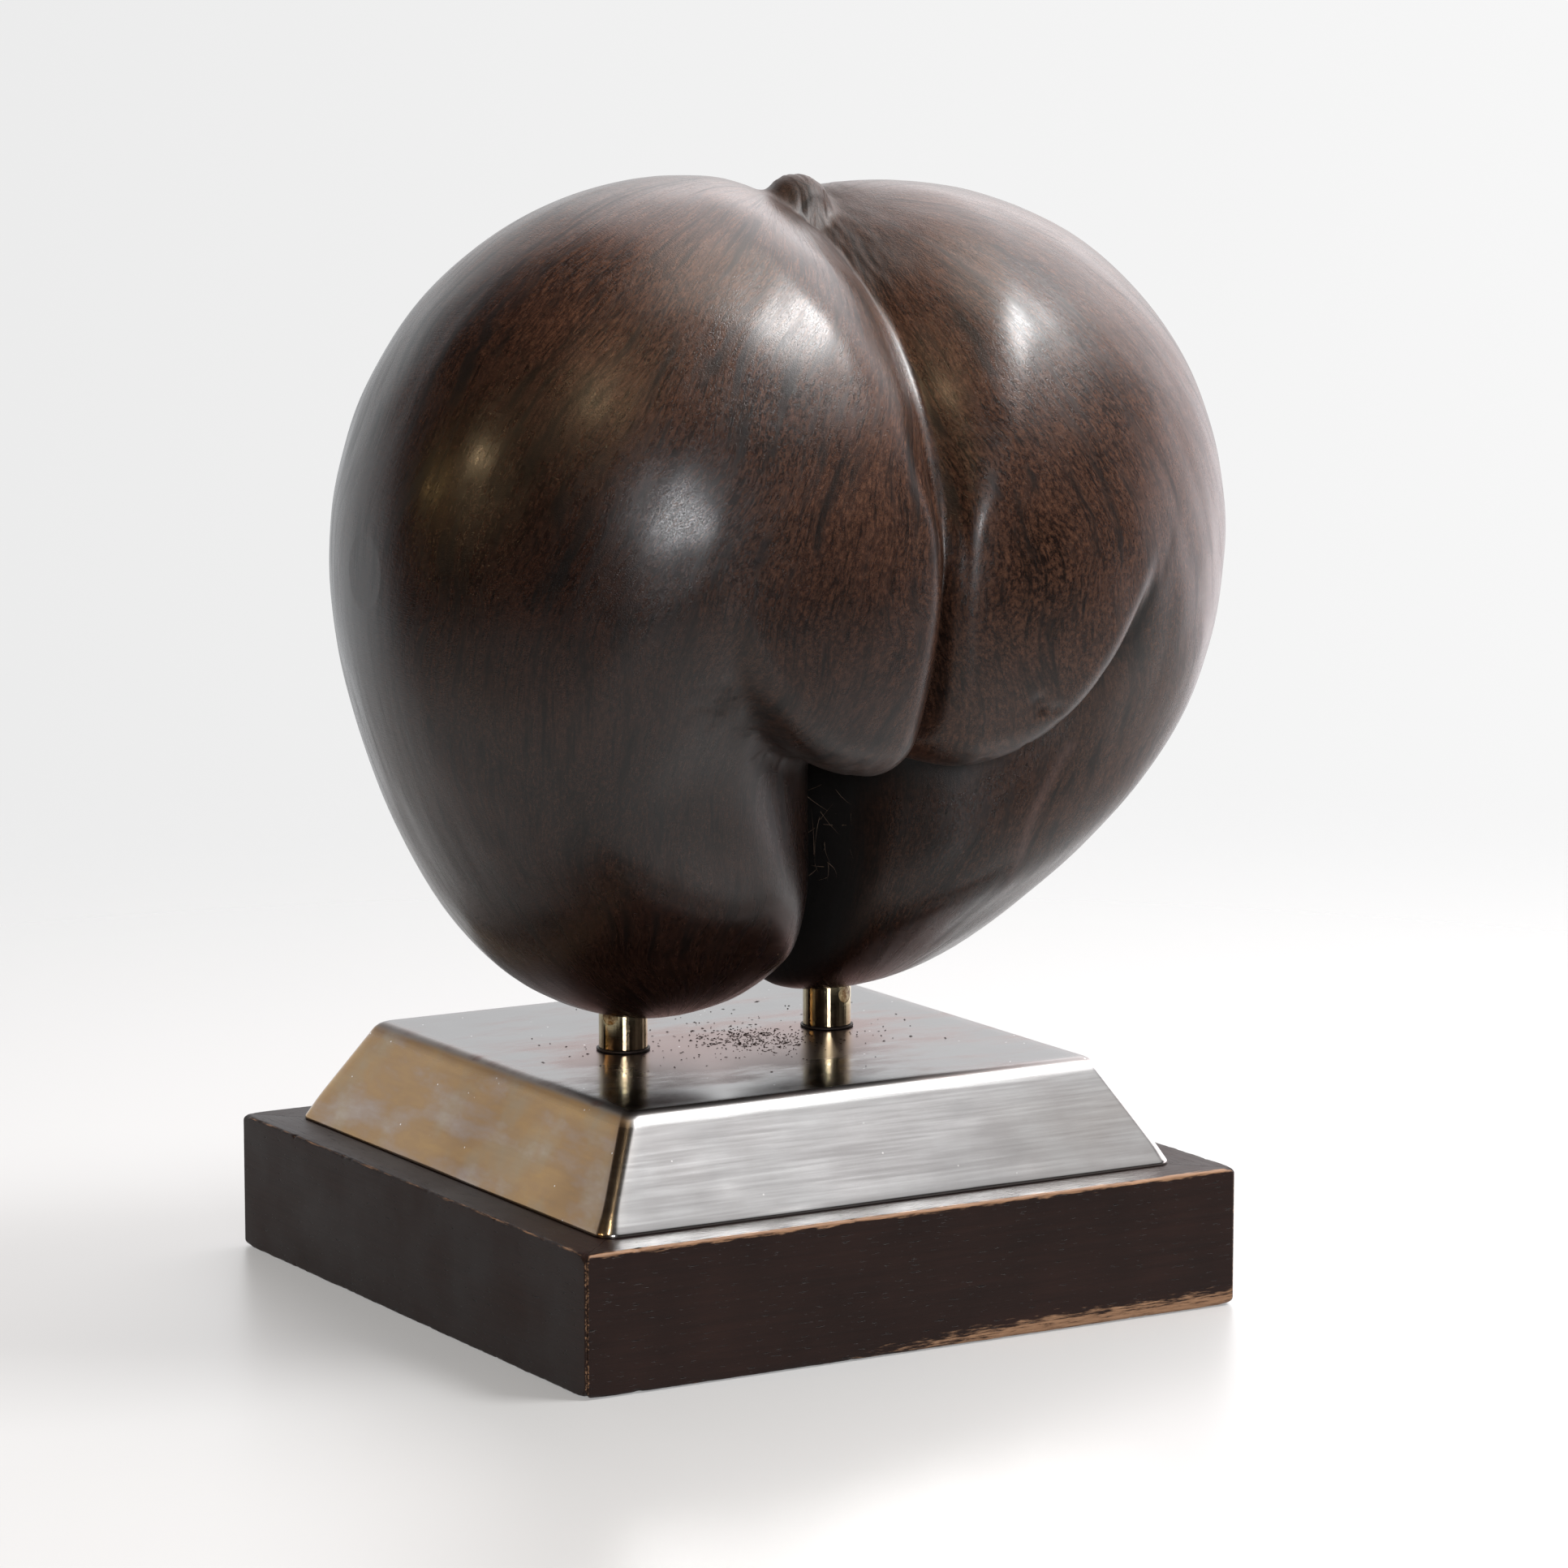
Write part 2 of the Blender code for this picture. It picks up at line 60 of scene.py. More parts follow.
def add(nodes, kind, inputs=(), **settings):
    """One node. inputs maps a socket to a value, or to the output socket that feeds it."""
    made = nodes.new(kind)
    for name, value in settings.items():
        setattr(made, name, value)
    for name, value in dict(inputs).items():
        if isinstance(value, bpy.types.NodeSocket):
            nodes.id_data.links.new(value, made.inputs[name])
        else:
            made.inputs[name].default_value = value
    return made


def finish_for(name):
    """A new material with its nodes and its Principled shader."""
    made = bpy.data.materials.new(name)
    made.use_nodes = True
    return made, made.node_tree.nodes, made.node_tree.nodes["Principled BSDF"]


def two_tone(name, size, dark, light, gloss, detail=2.0, metallic=0.0):
    """A new material whose colour drifts between two tones, and its roughness between the two
    values of gloss, in patches of about size metres."""
    made, nodes, shader = finish_for(name)
    place = add(nodes, "ShaderNodeTexCoord").outputs["Object"]
    pattern = add(nodes, "ShaderNodeTexNoise", {
        "Vector": place, "Scale": 1 / size, "Detail": detail}).outputs["Fac"]
    colour = add(nodes, "ShaderNodeMix", {
        0: pattern, 6: linear(dark), 7: linear(light)}, data_type="RGBA").outputs[2]
    rough = add(nodes, "ShaderNodeMapRange", {0: pattern, 3: gloss[0], 4: gloss[1]}).outputs[0]
    nodes.id_data.links.new(colour, shader.inputs["Base Color"])
    nodes.id_data.links.new(rough, shader.inputs["Roughness"])
    shader.inputs["Metallic"].default_value = metallic
    return made


def ripple(points, length, seed, waves=28):
    """A smooth random field of unit spread: the sum of sine waves in random directions, each
    about `length` from crest to crest."""
    rng = np.random.default_rng(seed)
    direction = rng.normal(size=(waves, 3))
    direction /= np.linalg.norm(direction, axis=1, keepdims=True)
    direction *= 2 * np.pi / (length * rng.uniform(0.7, 1.5, (waves, 1)))
    phase = rng.uniform(0, 2 * np.pi, waves)
    total = np.zeros(points.shape[:-1])
    for wave in range(waves):
        total += np.sin(points @ direction[wave] + phase[wave])
    return total / math.sqrt(waves / 2)


def ease(value, low, high):
    """0 below low, 1 above high, and an S curve between."""
    t = np.clip((value - low) / (high - low), 0.0, 1.0)
    return t * t * (3 - 2 * t)


def tube_piece(name, rings, material, slot, node=None, sharp=40.0, **values):
    """A closed piece from rings[i, j] in mm: each ring joins the next by quads, and a fan to the
    mean of the first ring and of the last closes the ends. values are kept on its points."""
    count, around = rings.shape[:2]
    flat = np.concatenate([rings.reshape(-1, 3), rings[:1].mean(1), rings[-1:].mean(1)])
    index = np.arange(count * around).reshape(count, around)
    beside = np.roll(index, -1, axis=1)
    quads = np.stack([index[:-1], index[1:], beside[1:], beside[:-1]], -1).reshape(-1, 4)
    first = np.stack([np.full(around, count * around), index[0], beside[0]], -1)
    last = np.stack([np.full(around, count * around + 1), beside[-1], index[-1]], -1)
    corner = flat[quads]
    volume = np.einsum("ij,ij->i", corner[:, 0], np.cross(corner[:, 1], corner[:, 2])).sum()
    volume += np.einsum("ij,ij->i", corner[:, 0], np.cross(corner[:, 2], corner[:, 3])).sum()
    order = 1 if volume > 0 else -1
    faces = quads[:, ::order].tolist() + first[:, ::order].tolist() + last[:, ::order].tolist()
    mesh = bpy.data.meshes.new(name)
    mesh.from_pydata((flat * 0.001).tolist(), [], faces)
    for key, value in values.items():
        ends = [value[0].mean(0)], [value[-1].mean(0)]
        value = np.concatenate([value.reshape(count * around, -1).squeeze(), *ends])
        vector = value.ndim == 2
        layer = mesh.attributes.new(key, "FLOAT_VECTOR" if vector else "FLOAT", "POINT")
        layer.data.foreach_set("vector" if vector else "value", value.astype(np.float32).ravel())
    mesh.shade_smooth()
    mesh.set_sharp_from_angle(angle=math.radians(sharp))
    mesh.materials.append(material)
    piece = bpy.data.objects.new(name, mesh)
    bpy.context.scene.collection.objects.link(piece)
    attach(piece, "root")
    if node:
        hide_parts(node)
    return piece


# Ebonised hardwood: the stain leaves a near-black satin film with fine dark pores along the
# grain, and bare brown wood shows wherever the film is rubbed through.
ebonised, nodes, shader = finish_for("ebonised_hardwood")
along = add(nodes, "ShaderNodeAttribute", attribute_name="rail_mm").outputs["Vector"]
worn = add(nodes, "ShaderNodeAttribute", attribute_name="wear").outputs["Fac"]
grain_place = add(nodes, "ShaderNodeMapping", {
    0: along, "Scale": (1 / grain_length, 1 / grain_width, 1 / grain_width)}).outputs[0]
grain = add(nodes, "ShaderNodeTexNoise", {
    "Vector": grain_place, "Scale": 1.0, "Detail": 5.0, "Roughness": 0.6}).outputs["Fac"]
pore_place = add(nodes, "ShaderNodeMapping", {
    0: along, "Scale": (1 / pore_length, 1 / pore_width / 2, 1 / pore_width / 2)}).outputs[0]
pore_noise = add(nodes, "ShaderNodeTexNoise", {
    "Vector": pore_place, "Scale": 1.0, "Detail": 2.0}).outputs["Fac"]
pores = add(nodes, "ShaderNodeMapRange", {
    0: pore_noise, 1: 0.64, 2: 0.72}, interpolation_type="SMOOTHSTEP").outputs[0]
patch = add(nodes, "ShaderNodeTexNoise", {
    "Vector": along, "Scale": 1 / 28, "Detail": 4.0}).outputs["Fac"]
stain = add(nodes, "ShaderNodeMix", {
    0: add(nodes, "ShaderNodeMath", {0: grain, 1: patch}, operation="MULTIPLY").outputs[0],
    6: linear(stain_dark), 7: linear(stain_light)}, data_type="RGBA").outputs[2]
stain = add(nodes, "ShaderNodeMix", {
    0: add(nodes, "ShaderNodeMath", {0: pores, 1: 0.75}, operation="MULTIPLY").outputs[0],
    6: stain, 7: linear("#0c0908")}, data_type="RGBA").outputs[2]
rub_place = add(nodes, "ShaderNodeMapping", {
    0: along, "Scale": (1 / rub_length, 1 / rub_width, 1 / rub_width)}).outputs[0]
rub_noise = add(nodes, "ShaderNodeTexNoise", {
    "Vector": rub_place, "Scale": 1.0, "Detail": 4.0, "Roughness": 0.65}).outputs["Fac"]
rub = add(nodes, "ShaderNodeMath", {0: rub_noise, 1: worn}, operation="ADD").outputs[0]
rub = add(nodes, "ShaderNodeMapRange", {
    0: rub, 1: 0.99, 2: 1.2}, interpolation_type="SMOOTHSTEP").outputs[0]
bare = add(nodes, "ShaderNodeMix", {
    0: rub_noise, 6: linear(bare_wood_dark), 7: linear(bare_wood)}, data_type="RGBA").outputs[2]
colour = add(nodes, "ShaderNodeMix", {0: rub, 6: stain, 7: bare}, data_type="RGBA").outputs[2]
nodes.id_data.links.new(colour, shader.inputs["Base Color"])
gloss = add(nodes, "ShaderNodeMapRange", {0: patch, 1: 0.3, 2: 0.7, 3: 0.42, 4: 0.56}).outputs[0]
nodes.id_data.links.new(gloss, shader.inputs["Roughness"])
relief = add(nodes, "ShaderNodeMath", {0: grain, 1: pores}, operation="SUBTRACT").outputs[0]
bump = add(nodes, "ShaderNodeBump", {"Height": relief, "Strength": 0.8, "Distance": 0.0002})
nodes.id_data.links.new(bump.outputs[0], shader.inputs["Normal"])
shader.inputs["IOR"].default_value = 1.27


def rail_section():
    """Distances in from the outer face, and heights, round one rail: a rectangle whose two
    outer edges are marked by turn, the place round their quarter circles."""
    inward, height, corner, turn = [], [], [], []
    for depth in np.linspace(rail_width, 3.0, 10):
        inward.append(depth), height.append(0.0), corner.append(0), turn.append(0.0)
    for step in np.linspace(0, 1, 9):
        inward.append(0.0), height.append(0.0), corner.append(1), turn.append(step)
    for level in np.linspace(3.5, rail_height - 3.5, 22):
        inward.append(0.0), height.append(level), corner.append(0), turn.append(0.0)
    for step in np.linspace(0, 1, 11):
        inward.append(0.0), height.append(rail_height), corner.append(2), turn.append(step)
    for depth in np.linspace(3.0, rail_width, 22):
        inward.append(depth), height.append(rail_height), corner.append(0), turn.append(0.0)
    for level in np.linspace(rail_height - 6, 6, 3):
        inward.append(rail_width), height.append(level), corner.append(0), turn.append(0.0)
    return (np.array(values) for values in (inward, height, corner, turn))


rail_wear = {"front": (1.0, 1.15), "right": (0.6, 0.3), "back": (0.6, 0.3), "left": (0.6, 0.1)}
for turns, (side, (top_wear, foot_wear)) in enumerate(rail_wear.items()):
    inward, height, corner, turn = rail_section()
    across = np.linspace(-1, 1, 380)
    across = np.sign(across) * (1 - (1 - np.abs(across)) ** 1.25)
    run = across[:, None] * base_side / 2
    station = np.stack([run[:, 0], np.full(len(run), 50.0 * turns), np.zeros(len(run))], -1)
    dents = 0.22 * ripple(station, 14, 11) + 0.18 * ripple(station, 4, 12)
    knock = ease(dents, 0.38, 0.75)[:, None]
    to_corner = base_side / 2 - np.abs(run)
    radius = arris_radius + 0.5 * np.clip(dents, -0.8, 2)[:, None] + 0.7 * knock
    radius = radius + 1.1 * np.exp(-(to_corner / 4) ** 2)
    inward, height = inward + 0 * run, height + 0 * run
    angle = turn * np.pi / 2
    low, high = corner == 1, corner == 2
    inward = np.where(low, radius * (1 - np.sin(angle)), inward)
    height = np.where(low, radius * (1 - np.cos(angle)), height)
    inward = np.where(high, radius * (1 - np.cos(angle)), inward)
    height = np.where(high, rail_height - radius * (1 - np.sin(angle)), height)
    reach = to_corner + 0.293 * corner_radius
    chord = np.clip(corner_radius ** 2 - (corner_radius - reach) ** 2, 0, None)
    bow = np.where(reach < corner_radius, corner_radius - np.sqrt(chord), 0.0)
    inward = inward + bow * np.clip(1 - inward / rail_width, 0, 1)
    x = across[:, None] * (base_side / 2 - mitre_gap / 2 - inward)
    y = inward - base_side / 2
    end = base_side / 2 - np.abs(x)
    top = np.exp(-(np.hypot(inward, rail_height - height) / 1.3) ** 2) * top_wear
    foot = np.exp(-(np.hypot(inward, height) / 1.4) ** 2) * 0.4
    scuff = np.exp(-(height / 8) ** 2) * np.exp(-(inward / 3) ** 2)
    scuff = scuff * ease(x, -130, 60) * foot_wear * 0.66
    edge = np.exp(-(np.hypot(inward, end) / 1.5) ** 2) * 0.74 * (height > 1)
    sill = np.exp(-(inward / 9) ** 2) * ease(height, 44, 44.9) * top_wear * 0.36
    wear = np.maximum.reduce([top, foot, scuff, edge, sill]) + 0.10 * knock * (top > 0.2)
    c, s = ((1, 0), (0, 1), (-1, 0), (0, -1))[turns]
    rings = np.stack([c * x - s * y, s * x + c * y, height], -1)
    tube_piece(f"rail_{side}", rings, ebonised, "base_wood", f"wood_rail_{side}", sharp=35.0,
               rail_mm=np.stack([x + 400 * turns, inward, height], -1), wear=wear)


# Core block of the base
# A square of raw fibreboard that the rails are glued round. Only its underside can be seen, with
# a counterbore for each nut. The block inside the cap is left as raw.
fibreboard, nodes, shader = finish_for("raw_fibreboard")
place = add(nodes, "ShaderNodeTexCoord").outputs["Object"]
fleck = add(nodes, "ShaderNodeTexNoise", {
    "Vector": place, "Scale": 1 / 0.0011, "Detail": 3.0, "Roughness": 0.7}).outputs["Fac"]
cloud = add(nodes, "ShaderNodeTexNoise", {"Vector": place, "Scale": 1 / 0.03}).outputs["Fac"]
mixed = add(nodes, "ShaderNodeMath", {0: fleck, 1: cloud}, operation="MULTIPLY").outputs[0]
mixed = add(nodes, "ShaderNodeMapRange", {0: mixed, 1: 0.12, 2: 0.40}).outputs[0]
colour = add(nodes, "ShaderNodeMix", {
    0: mixed, 6: linear("#6f5236"), 7: linear("#a9865c")}, data_type="RGBA").outputs[2]
nodes.id_data.links.new(colour, shader.inputs["Base Color"])
shader.inputs["Roughness"].default_value = 0.85
bump = add(nodes, "ShaderNodeBump", {"Height": fleck, "Strength": 0.6, "Distance": 0.00015})
nodes.id_data.links.new(bump.outputs[0], shader.inputs["Normal"])
for name in ("base_core", "cap_core"):
    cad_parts[name].material_slots[0].material = fibreboard


# Metal cap
# Thin brass sheet folded to a low square pyramid with a flat top, its hips soldered and rounded,
# then silver plated and polished by hand. The plate has worn and tarnished on the left slope, and
# the bronze tone there is also partly a painted reflection of a brownish surround on the left.
cap_foot, cap_top, cap_low, cap_high = 106.0, 86.5, 45.3, 79.3
post_across, post_back = 38.8, 1.7
sheet, hip_radius, top_radius, lip = 1.5, 4.2, 4.8, 1.2
dent_places = ((49.4, -101.9, 52.4, 5.0, 0.22), (-60.0, -99.2, 57.1, 4.0, 0.15),
               (33.0, -93.7, 66.7, 3.5, 0.10))


def cap_profile(shrink, top):
    """Half side and height of each ring: up the slope, round the top edge and in to the middle.
    The lip at the foot of the slope rolls in."""
    slope = math.atan2(cap_high - cap_low, cap_foot - cap_top)
    foot, crown = cap_foot - shrink, cap_top - shrink
    radius = top_radius - shrink
    setback = radius * math.tan(slope / 2)
    angle = np.linspace(np.pi / 2 - slope, np.pi / 2, 12)
    edge_half = crown - setback + radius * np.cos(angle)
    edge_high = top - radius + radius * np.sin(angle)
    up = np.concatenate([np.linspace(0, 0.06, 6)[:-1], np.linspace(0.06, 1, 46)[:-1]])
    half = foot + (edge_half[0] - foot) * up
    high = cap_low + (edge_high[0] - cap_low) * up
    half = half - 0.45 * np.clip(1 - (high - cap_low) / lip, 0, 1) ** 2
    inner = np.linspace(edge_half[-1], 2.0, 56)[1:]
    return (np.concatenate([half, edge_half, inner]),
            np.concatenate([high, edge_high, np.full(len(inner), top)]))


def square_ring(half, radius, per_side=64, per_corner=14):
    """Each ring is a square with round corners: a quarter circle at each corner of the square
    that is smaller by the radius, and straight runs between them."""
    radius = np.minimum(radius, half)
    points = []
    for quarter in range(4):
        middle = quarter * np.pi / 2 + np.pi / 4
        angle = np.linspace(middle - np.pi / 4, middle + np.pi / 4, per_corner)
        centre = (half - radius)[:, None] * math.sqrt(2)
        corner = np.stack([centre * math.cos(middle) + radius[:, None] * np.cos(angle),
                           centre * math.sin(middle) + radius[:, None] * np.sin(angle)], -1)
        points.append(corner)
    ring = []
    for quarter in range(4):
        ring.append(points[quarter])
        share = (np.linspace(0, 1, per_side)[1:-1])[None, :, None]
        start, stop = points[quarter][:, -1:], points[(quarter + 1) % 4][:, :1]
        ring.append(start + (stop - start) * share)
    return np.concatenate(ring, 1)


outer_half, outer_high = cap_profile(0.0, cap_high)
inner_half, inner_high = cap_profile(sheet, cap_high - sheet)
half = np.concatenate([inner_half[::-1], outer_half])
high = np.concatenate([inner_high[::-1], outer_high])
hip = np.concatenate([np.full(len(inner_half), hip_radius - sheet),
                      np.full(len(outer_half), hip_radius)])
hip = hip + 1.5 * np.exp(-((high - cap_low) / 5) ** 2)
plan = square_ring(half, hip)
rings = np.concatenate([plan, np.broadcast_to(high[:, None, None], (*plan.shape[:2], 1))], -1)
flat_part = (rings[..., 2] > cap_high - 2.0)
outward = np.stack([rings[..., 0], rings[..., 1], 0 * high[:, None] + 30 + 0 * rings[..., 0]], -1)
outward /= np.linalg.norm(outward, axis=-1, keepdims=True)
hand = 0.10 * ripple(rings, 70, 21) + 0.025 * ripple(rings, 22, 22)
for px, py, pz, size, depth in dent_places:
    hand -= depth * np.exp(-((rings - (px, py, pz)) ** 2).sum(-1) / size ** 2)
hand *= ease(rings[..., 2], cap_low, cap_low + 3) * np.where(flat_part, 0.35, 1.0)
rings = rings + outward * hand[..., None]
# Partly painted reflection: the bronze on the left slope is worn, tarnished plate and also a
# painted reflection of a brownish surround.
left_slope = ease(-rings[..., 0] - np.abs(rings[..., 1]), -6, 6) * ease(-rings[..., 0], 83, 88)
tan_and_reflection_patch = left_slope + 0.10 * ease(rings[..., 0], 20, 90) * ease(-rings[..., 1], 88, 96)

# Silver plate over brass: a bright grey metal, hazed by fine horizontal polishing lines and
# specks, greyer on the flat top, and browned where it has tarnished and where the posts' feet
# hold the damp. On the left slope the bronze is partly tarnish and partly a painted reflection
# of a brownish surround.
plated, nodes, shader = finish_for("silver_plated_brass_sheet")
place = add(nodes, "ShaderNodeTexCoord").outputs["Object"]
tan = add(nodes, "ShaderNodeAttribute", attribute_name="tarnish").outputs["Fac"]
brushed = add(nodes, "ShaderNodeMapping", {
    0: place, "Scale": (1 / 0.045, 1 / 0.045, 1 / 0.0011)}).outputs[0]
lines = add(nodes, "ShaderNodeTexNoise", {
    "Vector": brushed, "Scale": 1.0, "Detail": 5.0, "Roughness": 0.65}).outputs["Fac"]
cloud = add(nodes, "ShaderNodeTexNoise", {
    "Vector": place, "Scale": 1 / 0.022, "Detail": 4.0, "Roughness": 0.55}).outputs["Fac"]
long_cloud = add(nodes, "ShaderNodeTexNoise", {
    "Vector": add(nodes, "ShaderNodeMapping", {
        0: place, "Location": (3, 1, 7), "Scale": (1 / 0.06, 1 / 0.06, 1 / 0.016)}).outputs[0],
    "Scale": 1.0, "Detail": 5.0, "Roughness": 0.6}).outputs["Fac"]
silver = add(nodes, "ShaderNodeMix", {
    0: add(nodes, "ShaderNodeMapRange", {
        0: add(nodes, "ShaderNodeMath", {0: cloud, 1: lines}, operation="ADD").outputs[0],
        1: 0.8, 2: 1.25}).outputs[0],
    6: linear("#c7c5c4"), 7: linear("#d4d4d3")}, data_type="RGBA").outputs[2]
bronze = add(nodes, "ShaderNodeMix", {
    0: add(nodes, "ShaderNodeMapRange", {0: long_cloud, 1: 0.36, 2: 0.64}).outputs[0],
    6: linear("#947960"), 7: linear("#b08f60")}, data_type="RGBA").outputs[2]
bronze = add(nodes, "ShaderNodeMix", {
    0: add(nodes, "ShaderNodeMapRange", {0: cloud, 1: 0.5, 2: 0.72}).outputs[0],
    6: bronze, 7: linear("#a28f74")}, data_type="RGBA").outputs[2]
browned = add(nodes, "ShaderNodeMapRange", {
    0: long_cloud, 1: 0.25, 2: 0.5, 3: 0.55, 4: 1.0}).outputs[0]
colour = add(nodes, "ShaderNodeMix", {
    0: add(nodes, "ShaderNodeMath", {0: tan, 1: browned}, operation="MULTIPLY").outputs[0],
    6: silver, 7: bronze}, data_type="RGBA").outputs[2]
stain_noise = add(nodes, "ShaderNodeTexNoise", {
    "Vector": add(nodes, "ShaderNodeMapping", {
        0: place, "Scale": (1 / 0.030, 1 / 0.012, 1 / 0.03)}).outputs[0],
    "Scale": 1.0, "Detail": 6.0, "Roughness": 0.62}).outputs["Fac"]
damp = add(nodes, "ShaderNodeAttribute", attribute_name="damp").outputs["Fac"]
stained = add(nodes, "ShaderNodeMapRange", {
    0: add(nodes, "ShaderNodeMath", {0: stain_noise, 1: damp}, operation="ADD").outputs[0],
    1: 0.78, 2: 1.22}, interpolation_type="SMOOTHSTEP").outputs[0]
crown = add(nodes, "ShaderNodeAttribute", attribute_name="crown").outputs["Fac"]
for mask, most, tone in ((crown, 0.86, "#6c6765"), (stained, 0.95, "#6f524b")):
    colour = add(nodes, "ShaderNodeMix", {
        0: add(nodes, "ShaderNodeMath", {0: mask, 1: most}, operation="MULTIPLY").outputs[0],
        6: colour, 7: linear(tone)}, data_type="RGBA").outputs[2]
specks = add(nodes, "ShaderNodeTexVoronoi", {
    "Vector": place, "Scale": 1 / 0.0042, "Randomness": 1.0})
speck = add(nodes, "ShaderNodeMapRange", {
    0: specks.outputs["Distance"], 1: 0.05, 2: 0.09, 3: 1.0, 4: 0.0}).outputs[0]
rare = add(nodes, "ShaderNodeMapRange", {
    0: add(nodes, "ShaderNodeSeparateColor", {0: specks.outputs["Color"]}).outputs[0],
    1: 0.80, 2: 0.82}).outputs[0]
speck = add(nodes, "ShaderNodeMath", {0: speck, 1: rare}, operation="MULTIPLY").outputs[0]
colour = add(nodes, "ShaderNodeMix", {
    0: speck, 6: colour, 7: linear("#f2f0ee")}, data_type="RGBA").outputs[2]
nodes.id_data.links.new(colour, shader.inputs["Base Color"])
shader.inputs["Metallic"].default_value = 1.0
haze = add(nodes, "ShaderNodeAttribute", attribute_name="haze").outputs["Fac"]
rough = add(nodes, "ShaderNodeMapRange", {0: lines, 1: 0.3, 2: 0.7, 3: 0.0, 4: 0.05}).outputs[0]
rough = add(nodes, "ShaderNodeMath", {0: rough, 1: haze}, operation="ADD").outputs[0]
etched = add(nodes, "ShaderNodeMath", {0: stained, 1: 0.18}, operation="MULTIPLY").outputs[0]
rough = add(nodes, "ShaderNodeMath", {0: rough, 1: etched}, operation="ADD").outputs[0]
nodes.id_data.links.new(rough, shader.inputs["Roughness"])
height = add(nodes, "ShaderNodeMath", {0: lines, 1: speck}, operation="ADD").outputs[0]
bump = add(nodes, "ShaderNodeBump", {"Height": height, "Strength": 0.2, "Distance": 0.00001})
nodes.id_data.links.new(bump.outputs[0], shader.inputs["Normal"])

top_face = ease(rings[..., 2], cap_high - 2.2, cap_high - 0.6)
spread = np.exp(-(((rings[..., 0] + 8) / 60) ** 2 + ((rings[..., 1] + 18) / 40) ** 2))
feet = sum(np.exp(-(np.hypot(rings[..., 0] - px, rings[..., 1] - post_back) / 15) ** 2)
           for px in (-post_across, post_across))
flat_reach = np.maximum(np.abs(rings[..., 0]), np.abs(rings[..., 1]))
rim = np.exp(-((flat_reach - cap_top) / 3.5) ** 2)
rim = rim * ease(rings[..., 2], cap_high - 5, cap_high - 2)
tube_piece("cap_sheet", rings, plated, "plated_sheet", "metal_cap", sharp=50.0,
           tarnish=tan_and_reflection_patch, haze=0.09 + 0.07 * (1 - top_face) + 0.06 * left_slope + 0.28 * rim,
           crown=top_face, damp=top_face * np.clip(0.62 * spread + 0.25 * feet + 0.32, 0, 1))

# Crumbs of shell
# Drilling the seed has let dark fibre crumbs and dust fall on the cap between the posts. Each is
# a splinter with six faces, lying flat.
rng = np.random.default_rng(5)
crumb_count, crumb_lift = 640, 0.06
tight = rng.random(crumb_count) < 0.62
crumb_x = np.where(tight, 5 + 9 * rng.normal(size=crumb_count),
                   4 + 32 * rng.normal(size=crumb_count))
crumb_y = np.where(tight, -6 + 9 * rng.normal(size=crumb_count),
                   -4 + 24 * rng.normal(size=crumb_count))
crumb_long = rng.uniform(0.4, 1.6, crumb_count) * np.where(rng.random(crumb_count) < 0.1, 1.9, 1.0)
crumb_wide = rng.uniform(0.14, 0.34, crumb_count)
crumb_turn = rng.uniform(0, np.pi, crumb_count)
keep = np.hypot(np.abs(crumb_x) - post_across, crumb_y - post_back) > 9.5
keep &= (np.abs(crumb_x) < 76) & (np.abs(crumb_y) < 76)
ends = np.array([(-1, 0, 0), (0.2, 1, 0), (0.1, -1, 0), (1, 0.2, 0), (0, 0.1, 1)])
size = np.stack([crumb_long / 2, crumb_wide, crumb_wide * 0.8], -1)[:, None]
local = ends[None] * size
c, s = np.cos(crumb_turn)[:, None], np.sin(crumb_turn)[:, None]
where = np.stack([crumb_x[:, None] + c * local[..., 0] - s * local[..., 1],
                  crumb_y[:, None] + s * local[..., 0] + c * local[..., 1],
                  cap_high + crumb_lift + local[..., 2]], -1)[keep]
splinter = np.array([(0, 1, 2), (1, 3, 2), (0, 4, 1), (1, 4, 3), (3, 4, 2), (2, 4, 0)])[:, ::-1]
faces = (np.arange(len(where))[:, None, None] * 5 + splinter).reshape(-1, 3)
mesh = bpy.data.meshes.new("shell_crumbs")
mesh.from_pydata((where.reshape(-1, 3) * 0.001).tolist(), [], faces.tolist())
dust = two_tone("shell_dust", 0.002, "#1c110c", "#4a2f22", (0.8, 0.8))
mesh.materials.append(dust)
crumbs = bpy.data.objects.new("shell_crumbs", mesh)
bpy.context.scene.collection.objects.link(crumbs)
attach(crumbs, "root")


# Posts
# Two lengths of 16 mm brass bar, turned, polished and lacquered, each over a thin dark fibre
# washer. Fine turning lines ring the bar.
brass, nodes, shader = finish_for("polished_brass")
place = add(nodes, "ShaderNodeTexCoord").outputs["Object"]
turned = add(nodes, "ShaderNodeTexNoise", {
    "Vector": add(nodes, "ShaderNodeMapping", {
        0: place, "Scale": (1 / 0.05, 1 / 0.05, 1 / 0.0006)}).outputs[0],
    "Scale": 1.0, "Detail": 3.0}).outputs["Fac"]
cloud = add(nodes, "ShaderNodeTexNoise", {
    "Vector": place, "Scale": 1 / 0.006, "Detail": 4.0}).outputs["Fac"]
colour = add(nodes, "ShaderNodeMix", {
    0: cloud, 6: linear("#a89a78"), 7: linear("#cfc4a4")}, data_type="RGBA").outputs[2]
nodes.id_data.links.new(colour, shader.inputs["Base Color"])
shader.inputs["Metallic"].default_value = 1.0
rough = add(nodes, "ShaderNodeMapRange", {0: turned, 1: 0.3, 2: 0.7, 3: 0.10, 4: 0.20}).outputs[0]
nodes.id_data.links.new(rough, shader.inputs["Roughness"])
bump = add(nodes, "ShaderNodeBump", {"Height": turned, "Strength": 0.3, "Distance": 0.00001})
nodes.id_data.links.new(bump.outputs[0], shader.inputs["Normal"])

washer = two_tone("dark_fibre_washer", 0.0008, "#120d0a", "#3a2a20", (0.6, 0.6))

